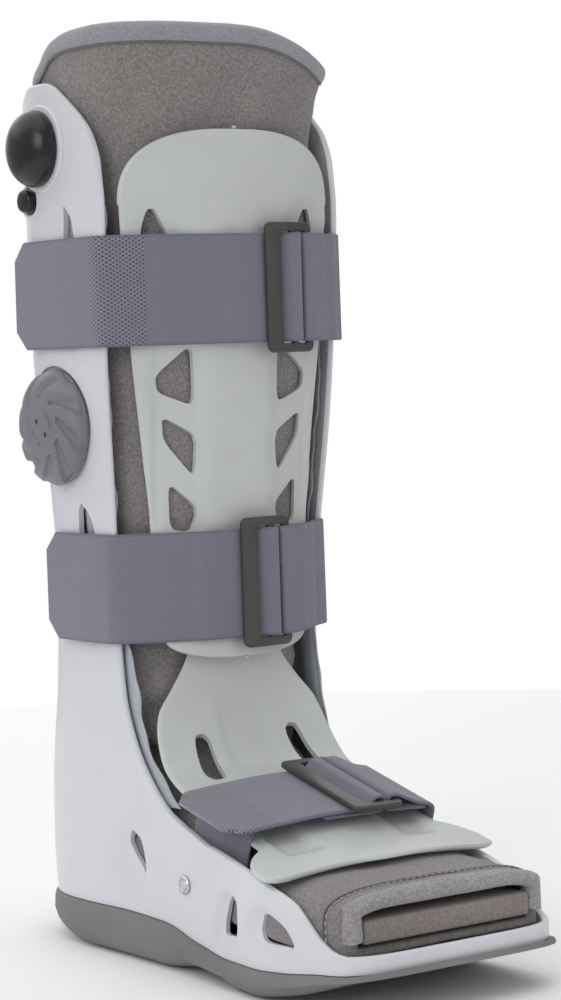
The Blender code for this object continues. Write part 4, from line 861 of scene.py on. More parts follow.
def piping(name, line, radius, material, closed=False, sides=10):
    """A thin round cord along a line of points."""
    line = np.asarray(line, float)
    if closed:
        run = np.roll(line, -1, axis=0) - np.roll(line, 1, axis=0)
    else:
        run = np.gradient(line, axis=0)
    run /= np.linalg.norm(run, axis=1)[:, None]
    start = np.array((0.0, 0.0, 1.0)) if abs(run[0][2]) < 0.8 else np.array((1.0, 0.0, 0.0))
    points, faces = [], []
    for place, ahead in zip(line, run):
        start = start - ahead * (start @ ahead)
        start /= np.linalg.norm(start)
        side = np.cross(ahead, start)
        for k in range(sides):
            turn = 2 * math.pi * k / sides
            points.append(place + (start * math.cos(turn) + side * math.sin(turn)) * radius)
    count = len(line)
    for r in range(count if closed else count - 1):
        for k in range(sides):
            a, b = r * sides + k, r * sides + (k + 1) % sides
            c, d = (r + 1) % count * sides + (k + 1) % sides, (r + 1) % count * sides + k
            faces.append([a, b, c, d])
    if not closed:
        faces += [list(range(sides)), list(range((count - 1) * sides, count * sides))]
    return mesh_piece(name, points, faces, material)


def stitches(name, line, material, length=0.0022, gap=0.0013, radius=0.00035):
    """A row of short thread stitches along a line, in one mesh."""
    line = np.asarray(line, float)
    run = np.concatenate([[0], np.cumsum(np.linalg.norm(np.diff(line, axis=0), axis=1))])
    points, faces = [], []
    at = 0.0
    while at + length < run[-1]:
        ends = [np.array([np.interp(s, run, line[:, k]) for k in range(3)]) for s in (at, at + length)]
        ahead = (ends[1] - ends[0]) / np.linalg.norm(ends[1] - ends[0])
        side = np.cross(ahead, (0.3, 0.5, 0.81))
        side /= np.linalg.norm(side)
        up = np.cross(ahead, side)
        base = len(points)
        for end, size in ((ends[0], 0.5), ((ends[0] + ends[1]) / 2, 1.0), (ends[1], 0.5)):
            for k in range(6):
                turn = math.pi * k / 3
                points.append(end + (side * math.cos(turn) + up * math.sin(turn)) * radius * size)
        for r in range(2):
            for k in range(6):
                a, b = base + r * 6 + k, base + r * 6 + (k + 1) % 6
                faces.append([a, b, b + 6, a + 6])
        faces += [[base + k for k in range(6)], [base + 12 + k for k in range(6)]]
        at += length + gap
    return mesh_piece(name, points, faces, material)


def liner(kinds):
    """The padded boot with soft folds, a bound top edge, and thick flaps round the open toe."""
    outer = liner_rings(0.0, 0.0)
    inner = liner_rings(LINER_WALL, LINER_FLOOR)
    middle = outer.mean(axis=1, keepdims=True)
    normal = outer - middle
    normal /= np.linalg.norm(normal, axis=2)[:, :, None]
    height = outer[:, :, 2]
    ahead = outer[:, :, 1]
    front = ease(0.0, 0.7, -normal[:, :, 1] * 0.8 + normal[:, :, 2] * 0.6)
    ankle = ease(0.085, 0.105, height) * (1 - ease(0.150, 0.185, height)) * ease(-0.02, 0.01, ahead)
    folds = np.sin(height * 2 * math.pi / 0.019 + normal[:, :, 0] * 2.0 + ripple(outer, 0.05,
                                                                                 5)) * ankle * front
    swell = ripple(outer, 0.045, 11) * 0.0006 + ripple(outer, 0.012, 17) * 0.00018
    shift = swell + folds * FOLD_DEPTH
    rim = ease(0.340, 0.360, height) * (1 - ease(0.40, 0.416, height))
    shift += rim * ripple(outer, 0.06, 23) * 0.0009
    outer = outer + normal * np.clip(shift, -0.0016, FOLD_DEPTH)[:, :, None]
    lips = []
    for first, second, away in ((outer[0], inner[0], (0, -1, 0)), (outer[-1], inner[-1], (0, 0, 1))):
        ring_set = []
        for t in np.linspace(0, 1, 7)[1:-1]:
            bulge = math.sin(math.pi * t) * LINER_WALL * 0.2
            ring_set.append(first * (1 - t) + second * t + np.array(away) * bulge)
        lips.append(ring_set)
    rings = list(inner[::-1]) + lips[0][::-1] + list(outer) + lips[1]
    rings = np.array(rings)
    count, around = rings.shape[:2]
    faces = []
    for r in range(count):
        for i in range(around):
            a, b = r * around + i, r * around + (i + 1) % around
            c, d = (r + 1) % count * around + (i + 1) % around, (r + 1) % count * around + i
            faces.append([a, b, c, d])
    body = mesh_piece("liner_boot", rings.reshape(-1, 3), faces, kinds["liner"], 80.0)
    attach(body, "boot")
    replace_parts(body, "liner")
    top_binding(kinds, outer, inner)
    toe_flaps(kinds, outer, inner)
    return body


def top_binding(kinds, outer, inner):
    """The smoother band round the liner's top, with a groove and a seam below it."""

    def outward(ring):
        away = ring - ring.mean(axis=0)
        away[:, 2] = 0
        return away / np.linalg.norm(away, axis=1)[:, None]

    def below(rings, share):
        return rings[-1] * (1 - share) + rings[-3] * share

    profile = []
    for share, out in ((1.04, -0.0003), (1.02, 0.0006), (0.98, 0.0011), (0.80, 0.0015), (0.50, 0.0017),
                       (0.20, 0.0014), (0.0, 0.0007)):
        ring = below(outer, share)
        profile.append(ring + outward(ring) * out)
    for t in np.linspace(0, 1, 9)[1:-1]:
        ring = outer[-1] * (1 - t) + inner[-1] * t
        profile.append(ring + np.array((0, 0,
                                        1)) * (math.sin(math.pi * t) ** 0.8 * LINER_WALL * 0.24 + 0.0003))
    for share, out in ((0.0, 0.0008), (0.6, 0.0010), (1.02, 0.0004)):
        ring = below(inner, share)
        profile.append(ring - outward(ring) * out)
    band = loft("top_binding", profile, kinds["binding"], True, 80.0)
    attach(band, "boot")
    ring = below(outer, 1.07)
    seam = piping("top_seam", ring + outward(ring) * 0.0003, 0.0007, kinds["seam"], True)
    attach(seam, "boot")


def toe_flaps(kinds, outer, inner):
    """The thick rolled edge of the liner at the open toe, its stitched seam, and the flap inside it."""
    count = outer.shape[1]
    keep = [i for i in range(count) if abs(i - 0) <= 0.30 * count or i >= 0.70 * count]
    order = sorted(keep, key=lambda i: i if i < count / 2 else i - count)
    edge = outer[0][order]
    inside = inner[0][order]
    rings = []
    for place, within in zip(edge, inside):
        middle = place * 0.5 + within * 0.5
        out = place - within
        out /= np.linalg.norm(out)
        ring = []
        for k in range(14):
            turn = 2 * math.pi * k / 14
            ring.append(middle + out * math.cos(turn) * 0.0042 + np.array((0, -1,
                                                                           0)) * math.sin(turn) * 0.0052)
        rings.append(ring)
    roll = loft("toe_flap_edge", rings, kinds["flap"], True, 80.0)
    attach(roll, "boot")
    row = np.array([outer[3][i] for i in order])
    away = row - outer[3].mean(axis=0)
    away /= np.linalg.norm(away, axis=1)[:, None]
    seam = piping("toe_flap_seam", row + away * 0.0004, 0.0007, kinds["seam"])
    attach(seam, "boot")
    thread = stitches("toe_flap_stitches", row + away * 0.0010 + np.array((0, -0.0022, 0)), kinds["thread"])
    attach(thread, "boot")
    flap = []
    for share in np.linspace(0.09, 0.24, 12):
        row = []
        for i in order:
            place = inner[min(int(share * 80), len(inner) - 1)][i]
            lean = float(ease(0.3, 0.95, abs(i if i < count / 2 else i - count) / (0.30 * count)))
            row.append(place + np.array((0, 0, -1)) * FLAP_SAG * (1 - lean) - np.array((1, 0,
                                                                                        0)) * place[0] * 0.02)
        flap.append(row)
    lining = plate("toe_lining_flap", flap, 0.0035, kinds["liner"])
    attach(lining, "boot")


def footbed(kinds):
    """The foam slab, its edges softly rounded."""
    half = ((0.030, 0.755), (0.18, 0.755), (0.28, 0.66), (0.40, 0.57), (0.52, 0.53), (0.70, 0.53),
            (0.77, 0.43),
            (0.81, 0.25))
    outline = [(spread * WIDTH / 2, TOE_Y + y * LENGTH) for y, spread in half]
    outline += [(-x, y) for x, y in outline[::-1]]
    low = LINER_BOTTOM + LINER_FLOOR + 0.0021
    slab = prism("footbed_slab", outline, 2, low, low + 0.010, kinds["foam"])
    bevel = slab.modifiers.new("rounded", "BEVEL")
    bevel.width = 0.0012
    bevel.segments = 3
    bake(slab, 50.0)
    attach(slab, "boot")
    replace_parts(slab, "footbed")


# Panels


def panel_depth(x, z):
    """Place along Y of the front panel's outer face."""
    spread = CALF_WIDTH / 2 * curve(((0.319, 0.62), (0.547, 0.687), (0.74, 0.812), (0.880, 0.84)), z / HEIGHT)
    return along(PANEL_MIDDLE, z) + PANEL_BOW * (np.abs(x) / spread) ** PANEL_BOW_POWER


def window_place(outline, sign):
    return [(sign * x * CALF_WIDTH / 2, z * HEIGHT) for x, z in smooth_loop(outline, 2, 1.10)]


def panel_spread(share):
    """The front panel's half-width as a share of CALF_WIDTH / 2, with round ends."""
    top, bottom = np.clip((share - 0.800) / 0.0802, 0, 1), np.clip((0.345 - share) / 0.0262, 0, 1)
    if top > 0:
        return 0.833 * max(1 - top**2.6, 0.0) ** (1 / 2.6) + 0.01
    if bottom > 0:
        return 0.560 * max(1 - bottom**2.4, 0.0) ** (1 / 2.4) + 0.01
    return curve(PANEL_SPREAD, share)


def front_panel(kinds):
    """The shin plate: a bright rim, soft hollows round its windows and a raised band down its middle."""
    rows = 0.319 + (0.880 - 0.319) * (0.5 - 0.5 * np.cos(np.linspace(0, math.pi, 150)))
    across = np.sin(np.linspace(-math.pi / 2, math.pi / 2, 70))
    grid = []
    for share in rows:
        z = share * HEIGHT
        spread = CALF_WIDTH / 2 * panel_spread(share)
        grid.append([(x, panel_depth(x, z), z) for x in spread * across])
    grid = np.array(grid)
    x, z = np.abs(grid[:, :, 0]), grid[:, :, 2]
    pressed = np.zeros(x.shape)
    for name, outline in PANEL_WINDOWS.items():
        place = np.array([(-sx * CALF_WIDTH / 2, sz * HEIGHT) for sx, sz in smooth_loop(outline, 1)])
        reach = 0.0125 if name == "window_1" else 0.0085
        away = outline_distance(place, x, z + (0.003 if name == "window_1" else 0.0))
        pressed = np.maximum(pressed, (1 - ease(0.0, reach, away)) * 0.0021)
    between = ease(0.45, 0.475, z / HEIGHT) * (1 - ease(0.635, 0.665, z / HEIGHT))
    band = 1 - ease(0.018, 0.0235, x)
    pressed = np.maximum(pressed, between * (1 - band) * ease(0.045, 0.041, x) * 0.0016)
    body = plate("front_panel_moulding", grid, PANEL_WALL, kinds["panel"], pressed, 0.8, 6)
    cutters = []
    for side, sign in (("right", 1), ("left", -1)):
        for window, outline in PANEL_WINDOWS.items():
            cutters.append(prism(f"{window}_{side}", window_place(outline, sign), 1, -0.030, 0.040,
                                 kinds["panel"]))
    carve(body, cutters, 40.0)
    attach(body, "boot")
    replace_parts(body, "front_panel")
    return body


def foot_panel(kinds):
    """The instep plate, with two ridges, a broad rolled lip and hollows in front of the strap."""
    table = np.array(FOOT_PANEL_LINE)[::-1]
    at = np.concatenate([[0], np.cumsum(np.linalg.norm(np.diff(table[:, :2] * (LENGTH, HEIGHT), axis=0),
                                                       axis=1))])
    at /= at[-1]
    fine = np.linspace(0, 1, 150)
    line = np.array([[curve(np.stack([at, table[:, k]], 1), t) for k in range(3)] for t in fine])
    across = np.sin(np.linspace(-math.pi / 2, math.pi / 2, 60) * 0.98) / math.sin(math.pi / 2 * 0.98)
    grid = []
    for y, z, spread in line:
        upright = ease(0.20, 0.28, z)
        row = []
        for x in spread * WIDTH / 2 * across:
            drop = FOOT_PANEL_BOW * (abs(x) / (WIDTH / 2)) ** 2.2
            row.append((x, TOE_Y + y * LENGTH + drop * upright, z * HEIGHT - drop * (1 - upright)))
        grid.append(row)
    grid = np.array(grid)
    x, y = np.abs(grid[:, :, 0]), grid[:, :, 1]
    share = (y - TOE_Y) / LENGTH
    hollow = ease(0.225, 0.245, share) * (1 - ease(0.33, 0.36, share)) * ease(0.021, 0.027, x)
    hollow *= 1 - ease(0.038, 0.043, x)
    trough = ease(0.36, 0.40, share) * (1 - ease(0.55, 0.57, share)) * (1 - ease(0.011, 0.015, x))
    pressed = hollow * 0.0022 + trough * 0.0010
    body = plate("foot_panel_moulding", grid, PANEL_WALL, kinds["panel"], pressed, 0.8, 6)
    down_panel, out_of_panel = np.array((0, -0.70, -0.714)), np.array((0, -0.714, 0.70))
    cutters = []
    for side, sign in (("right", -1), ("left", 1)):
        places = [np.array((sign * a, *INSTEP_WINDOW_CENTRE)) + down_panel * down
                  for a, down in smooth_loop(INSTEP_WINDOW, 2, 1.25)]
        count = len(places)
        ring = [p + out_of_panel * out for out in (-0.010, 0.010) for p in places]
        faces = [list(range(count)), list(range(count, 2 * count))]
        faces += [[i, (i + 1) % count, count + (i + 1) % count, count + i] for i in range(count)]
        cutters.append(mesh_piece(f"instep_window_{side}", ring, faces, kinds["panel"]))
    carve(body, cutters)
    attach(body, "boot")
    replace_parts(body, "foot_panel")
    return body


def air_cell(name, sign, kinds):
    """The puffed edge of a vinyl air cell between the shell's side and the liner."""
    grid = []
    for share in np.linspace(0.17, 0.80, 120):
        z = share * HEIGHT
        front = along(FRONT_EDGE, z)
        lead = 0.006 * (1 - ease(0.30, 0.42, share)) - 0.004 * ease(0.30, 0.42, share)
        centre = along(SECTION_CENTRE, z)
        wave = 0.0006 * math.sin(share * 150) + 0.0009 * math.sin(share * 61)
        row = []
        for y in np.linspace(front - lead + wave, centre, 14):
            puff = 0.0005 * math.sin((y - front) * 2 * math.pi / 0.013)
            inset = SHELL_WALL + FIT_GAP + 0.0006 + puff
            row.append((sign * (half_width(max(y, front), z) - inset), y, z))
        grid.append(row if sign > 0 else row[::-1])
    cell = plate(f"{name}_sheet", grid, 0.0014, kinds["vinyl"])
    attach(cell, "boot")
    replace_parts(cell, name)
    return cell


# Straps and buckles


def taut(points):
    """The convex line round the points, anticlockwise from the one that is furthest left and back."""
    points = sorted(set(map(tuple, np.round(points, 7))))

    def half(ordered):
        chain = []
        for p in ordered:
            while len(chain) > 1:
                (ax, ay), (bx, by) = chain[-2], chain[-1]
                if (bx - ax) * (p[1] - ay) - (by - ay) * (p[0] - ax) > 1e-12:
                    break
                chain.pop()
            chain.append(p)
        return chain[:-1]

    chain = half(points) + half(points[::-1])
    start = min(range(len(chain)), key=lambda i: (chain[i][0] - chain[i][1]))
    return np.array(chain[start:] + chain[:start])


class Route:
    """A strap's way round the boot: (distance along, distance out) become points of its plane."""

    def __init__(self, line, buckle_x):
        self.line = line
        self.run = np.concatenate([[0], np.cumsum(np.linalg.norm(np.diff(line, axis=0), axis=1))])
        rising = np.concatenate([[False], np.diff(line[:, 0]) > 1e-6])
        self.at_buckle = float(np.interp(buckle_x, line[:, 0][rising], self.run[rising]))
        self.origin = self.place(0.0)
        ahead, behind = self.place(0.012), self.place(-0.012)
        self.tangent = (ahead - behind) / np.linalg.norm(ahead - behind)
        self.lift = max(self.height_over(u) for u in (-0.012, -0.006, 0.0, 0.006, 0.012))

    def place(self, u):
        """The point of the taut line at a distance u from the buckle."""
        s = self.at_buckle + u
        return np.array([np.interp(s, self.run, self.line[:, 0]), np.interp(s, self.run, self.line[:, 1])])

    def height_over(self, u):
        offset = self.place(u) - self.origin
        return float(offset @ self.outward(self.tangent))

    @staticmethod
    def outward(tangent):
        return np.array([tangent[1], -tangent[0]])

    def point(self, u, n):
        """A point at u along and n out: flat by the buckle, and following the boot away from it."""
        flat = self.origin + self.tangent * u + self.outward(self.tangent) * (n + self.lift)
        ahead, behind = self.place(u + 0.004), self.place(u - 0.004)
        tangent = ahead - behind
        tangent = tangent / max(np.linalg.norm(tangent), 1e-9)
        follow = self.place(u) + self.outward(tangent) * n
        k = ease(0.016, 0.040, abs(u))
        return flat * (1 - k) + follow * k


LAYER_1 = FIT_GAP + STRAP_THICKNESS / 2
LAYER_2 = LAYER_1 + STRAP_THICKNESS + 0.0003
BUCKLE_LOW = LAYER_2 + STRAP_THICKNESS / 2 + 0.0004
BUCKLE_HIGH = BUCKLE_LOW + BUCKLE_THICKNESS
LAYER_3 = BUCKLE_HIGH + 0.0004 + STRAP_THICKNESS / 2
BUCKLE_BARS = (-0.01375, -0.00475, 0.00125, 0.00475, 0.00975, 0.01375)
TURN = 0.0003 + STRAP_THICKNESS / 2


def long_strap_turns():
    """The long strap's last stretch: under the wide bar, over the middle bar and back beneath."""
    wide_end, middle, middle_end = BUCKLE_BARS[1], BUCKLE_BARS[2], BUCKLE_BARS[3]
    down = middle_end + TURN
    return [(-0.036, LAYER_1), (-0.031, LAYER_2), (-0.015, LAYER_2), (wide_end + 0.0007, LAYER_2),
            (middle - 0.0016, LAYER_3 - 0.0021), (middle - 0.0010, LAYER_3 - 0.0006), (middle, LAYER_3),
            (middle_end, LAYER_3), (down - 0.0003, LAYER_3 - 0.0004), (down, LAYER_3 - 0.0011),
            (down, LAYER_1 + 0.0011), (down - 0.0004, LAYER_1 + 0.0003), (down - 0.0012, LAYER_1),
            (-0.012, LAYER_1),
            (-0.026, LAYER_1)]


def short_strap_turns():
    """The short strap's first stretch: from beneath, up through the frame and over the narrow bar."""
    bar, bar_end = BUCKLE_BARS[4], BUCKLE_BARS[5]
    up = bar - TURN
    return [(0.030, LAYER_1), (up + 0.0012, LAYER_1), (up + 0.0004, LAYER_1 + 0.0003), (up, LAYER_1 + 0.0011),
            (up, LAYER_3 - 0.0011), (up + 0.0003, LAYER_3 - 0.0004), (bar, LAYER_3), (bar_end, LAYER_3),
            (bar_end + 0.0012, LAYER_3 - 0.0006), (0.0235, LAYER_2 + 0.0010), (0.026, LAYER_2),
            (0.034, LAYER_2),
            (0.040, LAYER_1)]


def eased_path(path, step=0.0012):
    """The path as finely spaced points, its corners slightly rounded."""
    path = np.asarray(path, float)
    for _ in range(2):
        inner = np.stack([path[:-1] * 0.8 + path[1:] * 0.2, path[:-1] * 0.2 + path[1:] * 0.8],
                         1).reshape(-1, 2)
        path = np.vstack([path[:1], inner, path[-1:]])
    run = np.concatenate([[0], np.cumsum(np.linalg.norm(np.diff(path, axis=0), axis=1))])
    fine = np.linspace(0, run[-1], max(int(run[-1] / step), 8))
    return np.stack([np.interp(fine, run, path[:, k]) for k in (0, 1)], 1), fine


def band(name, path, half_at, plane, material, waviness=0.00018):
    """A woven band along a path, with rounded edges and a UV of metres along and across it."""
    origin, right, ahead, across = (np.array(v, float) for v in plane)
    path, run = eased_path(path)
    tangent = np.gradient(path, axis=0)
    tangent /= np.linalg.norm(tangent, axis=1)[:, None]
    normal = np.stack([tangent[:, 1], -tangent[:, 0]], 1)
    profile = [(s, 1.0) for s in np.linspace(-0.97, 0.97, 21)] + [(1.0, 0.45), (1.0, -0.45)]
    profile += [(s, -1.0) for s in np.linspace(0.97, -0.97, 9)] + [(-1.0, -0.45), (-1.0, 0.45)]
    half = np.array([half_at(s, run[-1]) for s in run])
    rough = ripple(np.stack([run, run * 0, run * 0], 1), 0.03, len(name) * 7)
    points, coordinates = [], []
    for p, n, h, s, r in zip(path, normal, half, run, rough):
        for share, out in profile:
            sag = waviness * r * share
            q = p + n * (out * STRAP_THICKNESS / 2 + sag)
            level = share * h
            points.append(origin + right * q[0] + ahead * q[1] + across * level)
            coordinates.append((s, level))
    count = len(profile)
    faces = [list(range(count)), [len(points) - count + k for k in range(count)]]
    for r in range(len(path) - 1):
        for k in range(count):
            a, b = r * count + k, r * count + (k + 1) % count
            faces.append([a, b, b + count, a + count])
    mesh = bpy.data.meshes.new(name)
    mesh.from_pydata([tuple(map(float, p)) for p in points], [], faces)
    layer = mesh.uv_layers.new(name="along")
    coordinates = np.array(coordinates)
    loops = np.zeros(len(mesh.loops), dtype=np.int32)
    mesh.loops.foreach_get("vertex_index", loops)
    layer.data.foreach_set("uv", coordinates[loops].ravel())
    edit = bmesh.new()
    edit.from_mesh(mesh)
    bmesh.ops.recalc_face_normals(edit, faces=edit.faces)
    edit.to_mesh(mesh)
    edit.free()
    mesh.shade_smooth()
    mesh.set_sharp_from_angle(angle=math.radians(60))
    mesh.materials.append(material)
    obj = bpy.data.objects.new(name, mesh)
    bpy.context.scene.collection.objects.link(obj)
    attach(obj, "boot")
    return obj


def cornered(s, length):
    """Half the width of a band whose first end has its corners cut off."""
    return min(STRAP_WIDTH / 2, STRAP_WIDTH / 2 - 0.008 + s)


def straight(s, length):
    return STRAP_WIDTH / 2




def calf_route(z_middle, buckle_x):
    """The taut way of a calf strap over the shell's sides and the front panel."""
    points = []
    for z in np.linspace(z_middle - STRAP_WIDTH / 2, z_middle + STRAP_WIDTH / 2, 7):
        front = along(FRONT_EDGE, z)
        for y in np.linspace(front, 0.075, 12):
            x = half_width(min(y, along(SECTION_CENTRE, z)), z)
            points += [(x, y), (-x, y)]
        points += [(CALF_WIDTH / 2 * curve(CALF_SPREAD, z / HEIGHT) * side, 0.094) for side in (-1, 1)]
        spread = CALF_WIDTH / 2 * curve(PANEL_SPREAD, z / HEIGHT)
        for x in np.linspace(-spread, spread, 25):
            points.append((x, panel_depth(x, z)))
    return Route(taut(points), buckle_x)


def sample(route, start, stop, level, step=0.004):
    count = max(int(abs(stop - start) / step), 2)
    return [route.point(u, level) for u in np.linspace(start, stop, count + 1)]


def buckle(name, node, route, plane, kinds):
    """The buckle: a plate with rounded corners and bars."""
    origin, right, ahead, across = (np.array(v, float) for v in plane)
    window = STRAP_WIDTH / 2 + 0.0008
    low, high = BUCKLE_BARS[0], BUCKLE_BARS[-1]
    corner = 0.0035
    outline = []
    for sign_u, sign_v, start in ((1, 1, 0), (-1, 1, 90), (-1, -1, 180), (1, -1, 270)):
        for k in range(9):
            turn = math.radians(start + 90 * k / 8)
            u = (high if sign_u > 0 else low) - sign_u * corner + corner * math.cos(turn)
            v = sign_v * (BUCKLE_HEIGHT / 2 - corner) + corner * math.sin(turn)
            outline.append((u, v))
    solid = prism(name, outline, 2, BUCKLE_LOW, BUCKLE_HIGH, kinds["buckle"])
    cutters = []
    for first, last in ((1, 2), (3, 4)):
        u0, u1 = BUCKLE_BARS[first], BUCKLE_BARS[last]
        slot = [(u0, -window), (u1, -window), (u1, window), (u0, window)]
        cutters.append(prism(f"{name}_slot_{first}", slot, 2, BUCKLE_LOW - 0.01, BUCKLE_HIGH + 0.01,
                             kinds["buckle"]))
    carve(solid, cutters)
    bevel = solid.modifiers.new("rounded", "BEVEL")
    bevel.width = 0.0008
    bevel.segments = 3
    bevel.limit_method = "ANGLE"
    bevel.angle_limit = math.radians(50)
    bake(solid, 60.0)
    for vertex in solid.data.vertices:
        u, v, n = vertex.co
        q = route.point(u, n)
        vertex.co = origin + right * q[0] + ahead * q[1] + across * v
    edit = bmesh.new()
    edit.from_mesh(solid.data)
    bmesh.ops.recalc_face_normals(edit, faces=edit.faces)
    edit.to_mesh(solid.data)
    edit.free()
    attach(solid, "boot")
    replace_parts(solid, node)
    return solid


def calf_strap(name, z_middle, buckle_x, reach_right, reach_left, cloth, kinds):
    """A calf strap in two bands, and its buckle."""
    route = calf_route(z_middle, buckle_x)
    plane = ((0, 0, z_middle), (1, 0, 0), (0, 1, 0), (0, 0, 1))
    turns = [route.point(u, n) for u, n in long_strap_turns()]
    path = sample(route, -reach_right, -0.037, LAYER_1)[:-1] + turns
    long = band(f"{name}_webbing_long", path, cornered, plane, cloth[0])
    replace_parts(long, f"{name}_strap_long")
    turns = [route.point(u, n) for u, n in short_strap_turns()]
    path = turns + sample(route, 0.042, reach_left, LAYER_1)
    short = band(f"{name}_webbing_short", path, straight, plane, cloth[1])
    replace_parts(short, f"{name}_strap_short")
    buckle(f"{name}_buckle_plate", f"{name}_buckle", route, plane, kinds)


def foot_strap(cloth, kinds):
    """The foot strap: an anchor that comes up inside the shell, a long and a short band, and a buckle."""
    slope = FOOT_STRAP_SLOPE
    up = np.array((0.0, -math.sin(slope), math.cos(slope)))
    across = np.array((0.0, math.cos(slope), math.sin(slope)))
    points = []
    table = np.array(FOOT_PANEL_LINE)
    for y, z, spread in table[(table[:, 0] < 0.50) & (table[:, 0] > 0.28)]:
        middle = np.array((0.0, TOE_Y + y * LENGTH, z * HEIGHT))
        spread = min(spread * WIDTH / 2, 0.0473)
        for x in np.linspace(-spread, spread, 21):
            drop = FOOT_PANEL_BOW * (abs(x) / (WIDTH / 2)) ** 2.2
            points.append((x, (middle - FOOT_STRAP_CENTRE) @ up - drop))
    side = 0.0478
    points += [(-side, -0.016), (side, -0.016)]
    route = Route(taut([(x, -h) for x, h in points]), FOOT_BUCKLE_X)
    plane = (FOOT_STRAP_CENTRE, (1, 0, 0), -up, across)

    def anchor_width(s, length):
        return STRAP_WIDTH / 2 - 0.004

    anchor = sample(route, 0.001 - route.at_buckle, -0.040, LAYER_1)
    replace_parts(band("foot_anchor_webbing", anchor, anchor_width, plane, cloth[2]), "foot_strap_anchor")
    turns = [(u, n if u > -0.028 or n > LAYER_1 + 1e-6 else LAYER_2) for u, n in long_strap_turns()]
    turns = [route.point(u, n) for u, n in turns]
    start = route.point(-0.057, LAYER_2)
    direction = start - route.point(-0.053, LAYER_2)
    direction /= np.linalg.norm(direction)
    tab = [start + direction * reach for reach in (FOOT_TAB, FOOT_TAB * 0.66, FOOT_TAB * 0.33)]
    path = tab + [start] + sample(route, -0.050, -0.037, LAYER_2, 0.004)[:-1] + turns
    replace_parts(band("foot_webbing_long", path, cornered, plane, cloth[0]), "foot_strap_long")
    turns = [route.point(u, n) for u, n in short_strap_turns()]
    reach = route.run[-1] - route.at_buckle - 0.001
    path = turns + sample(route, 0.042, reach, LAYER_1, 0.004)[1:]
    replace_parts(band("foot_webbing_short", path, straight, plane, cloth[1]), "foot_strap_short")
    buckle("foot_buckle_plate", "foot_buckle", route, plane, kinds)


# Pump parts and screws


def pump_parts(kinds):
    """The bulb, the release knob with its ribs, and the fluted selector dial."""
    steps = np.linspace(0, math.pi / 2, 30)
    base = 0.0029
    dome = [(base, BULB_RADIUS - 0.0006), (base + 0.0006, BULB_RADIUS)]
    dome += [(base + 0.002 + 0.011 * math.sin(t), max(BULB_RADIUS * math.cos(t), 0.0002)) for t in steps]
    bulb = turned("bulb_dome", dome, BULB_CENTRE, kinds["bulb"], 96, 60.0)
    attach(bulb, "boot")
    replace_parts(bulb, "bulb")

    def ribbed(radius, out, turn):
        return radius * (1 + 0.035 * math.cos(2 * turn) * (radius > 0.003))

    base = 0.0012
    knob = [(base + 0.0010, 0.0055), (base + 0.0013, 0.0057), (base + 0.0018, 0.0057),
            (base + 0.0022, 0.0051),
            (base + 0.0027, 0.0051), (base + 0.0031, 0.0056), (base + 0.0044, 0.0056),
            (base + 0.0052, 0.0051),
            (base + 0.0057, 0.0040), (base + 0.0058, 0.0002)]
    knob = turned("valve_knob", knob, VALVE_CENTRE, kinds["bulb"], 64, 50.0, ribbed)
    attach(knob, "valve")
    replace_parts(knob, "valve_button")

    flutes, swirl = 9, 0.75
    side = [(-0.0013, 0.0250, 0.0), (0.0, 0.0266, 0.0), (0.0012, 0.0270, 0.15)]
    side += [(0.0012 + 0.0088 * math.sin(t), 0.0270 - 0.0118 * (1 - math.cos(t)), 1.0)
             for t in np.linspace(0, math.pi / 2, 30)[1:]]
    rows = side + [(0.0101, 0.0140, 0.3), (0.0102, 0.0128, 0.0), (0.0102, 0.0119, 0.0), (0.0098, 0.0112, 0.0),
                   (0.0098, 0.0002, 0.0)]
    points, faces = [], []
    count = 216
    for out, radius, share in rows:
        reach = float(ease(0.0122, 0.0165, radius)) * share
        for k in range(count):
            turn = 2 * math.pi * k / count
            wave = 0.5 + 0.5 * math.cos(flutes * (turn + swirl * (0.0270 - radius) / 0.0148))
            groove = ease(0.35, 1.0, wave) * reach
            here = radius - 0.0016 * groove
            level = out - 0.0017 * groove * ease(0.001, 0.008, out)
            points.append((DIAL_CENTRE[0] - level, DIAL_CENTRE[1] + here * math.cos(turn),
                           DIAL_CENTRE[2] + here * math.sin(turn)))
    for ring in range(len(rows) - 1):
        for k in range(count):
            a, b = ring * count + k, ring * count + (k + 1) % count
            faces.append((a, b, b + count, a + count))
    faces += [tuple(range(count)), tuple(range((len(rows) - 1) * count, len(rows) * count))]
    dial = mesh_piece("dial_cap", points, faces, kinds["dial"], 45.0)
    # the hole cutters carry the near-black painted shade meant for the holes' walls
    holes = [turned(f"dial_hole_{k}", ((0.0085, 0.0013), (0.0130, 0.0013)),
                    (DIAL_CENTRE[0], DIAL_CENTRE[1] + y, DIAL_CENTRE[2] + z), kinds["dark"], 20)
             for k, (y, z) in enumerate(((0.0036, 0.0030), (-0.0036, -0.0030)))]
    carve(dial, holes, 45.0)
    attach(dial, "dial")
    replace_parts(dial, "selector_dial")
    for k, middle in enumerate((140.0, 320.0)):
        line = []
        for degrees in np.linspace(middle - 36, middle + 36, 24):
            turn = math.radians(degrees)
            line.append((DIAL_CENTRE[0] - 0.0098, DIAL_CENTRE[1] + 0.0075 * math.cos(turn),
                         DIAL_CENTRE[2] + 0.0075 * math.sin(turn)))
        arc = piping(f"dial_arc_{k}", line, 0.00055, kinds["dial"])
        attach(arc, "dial")


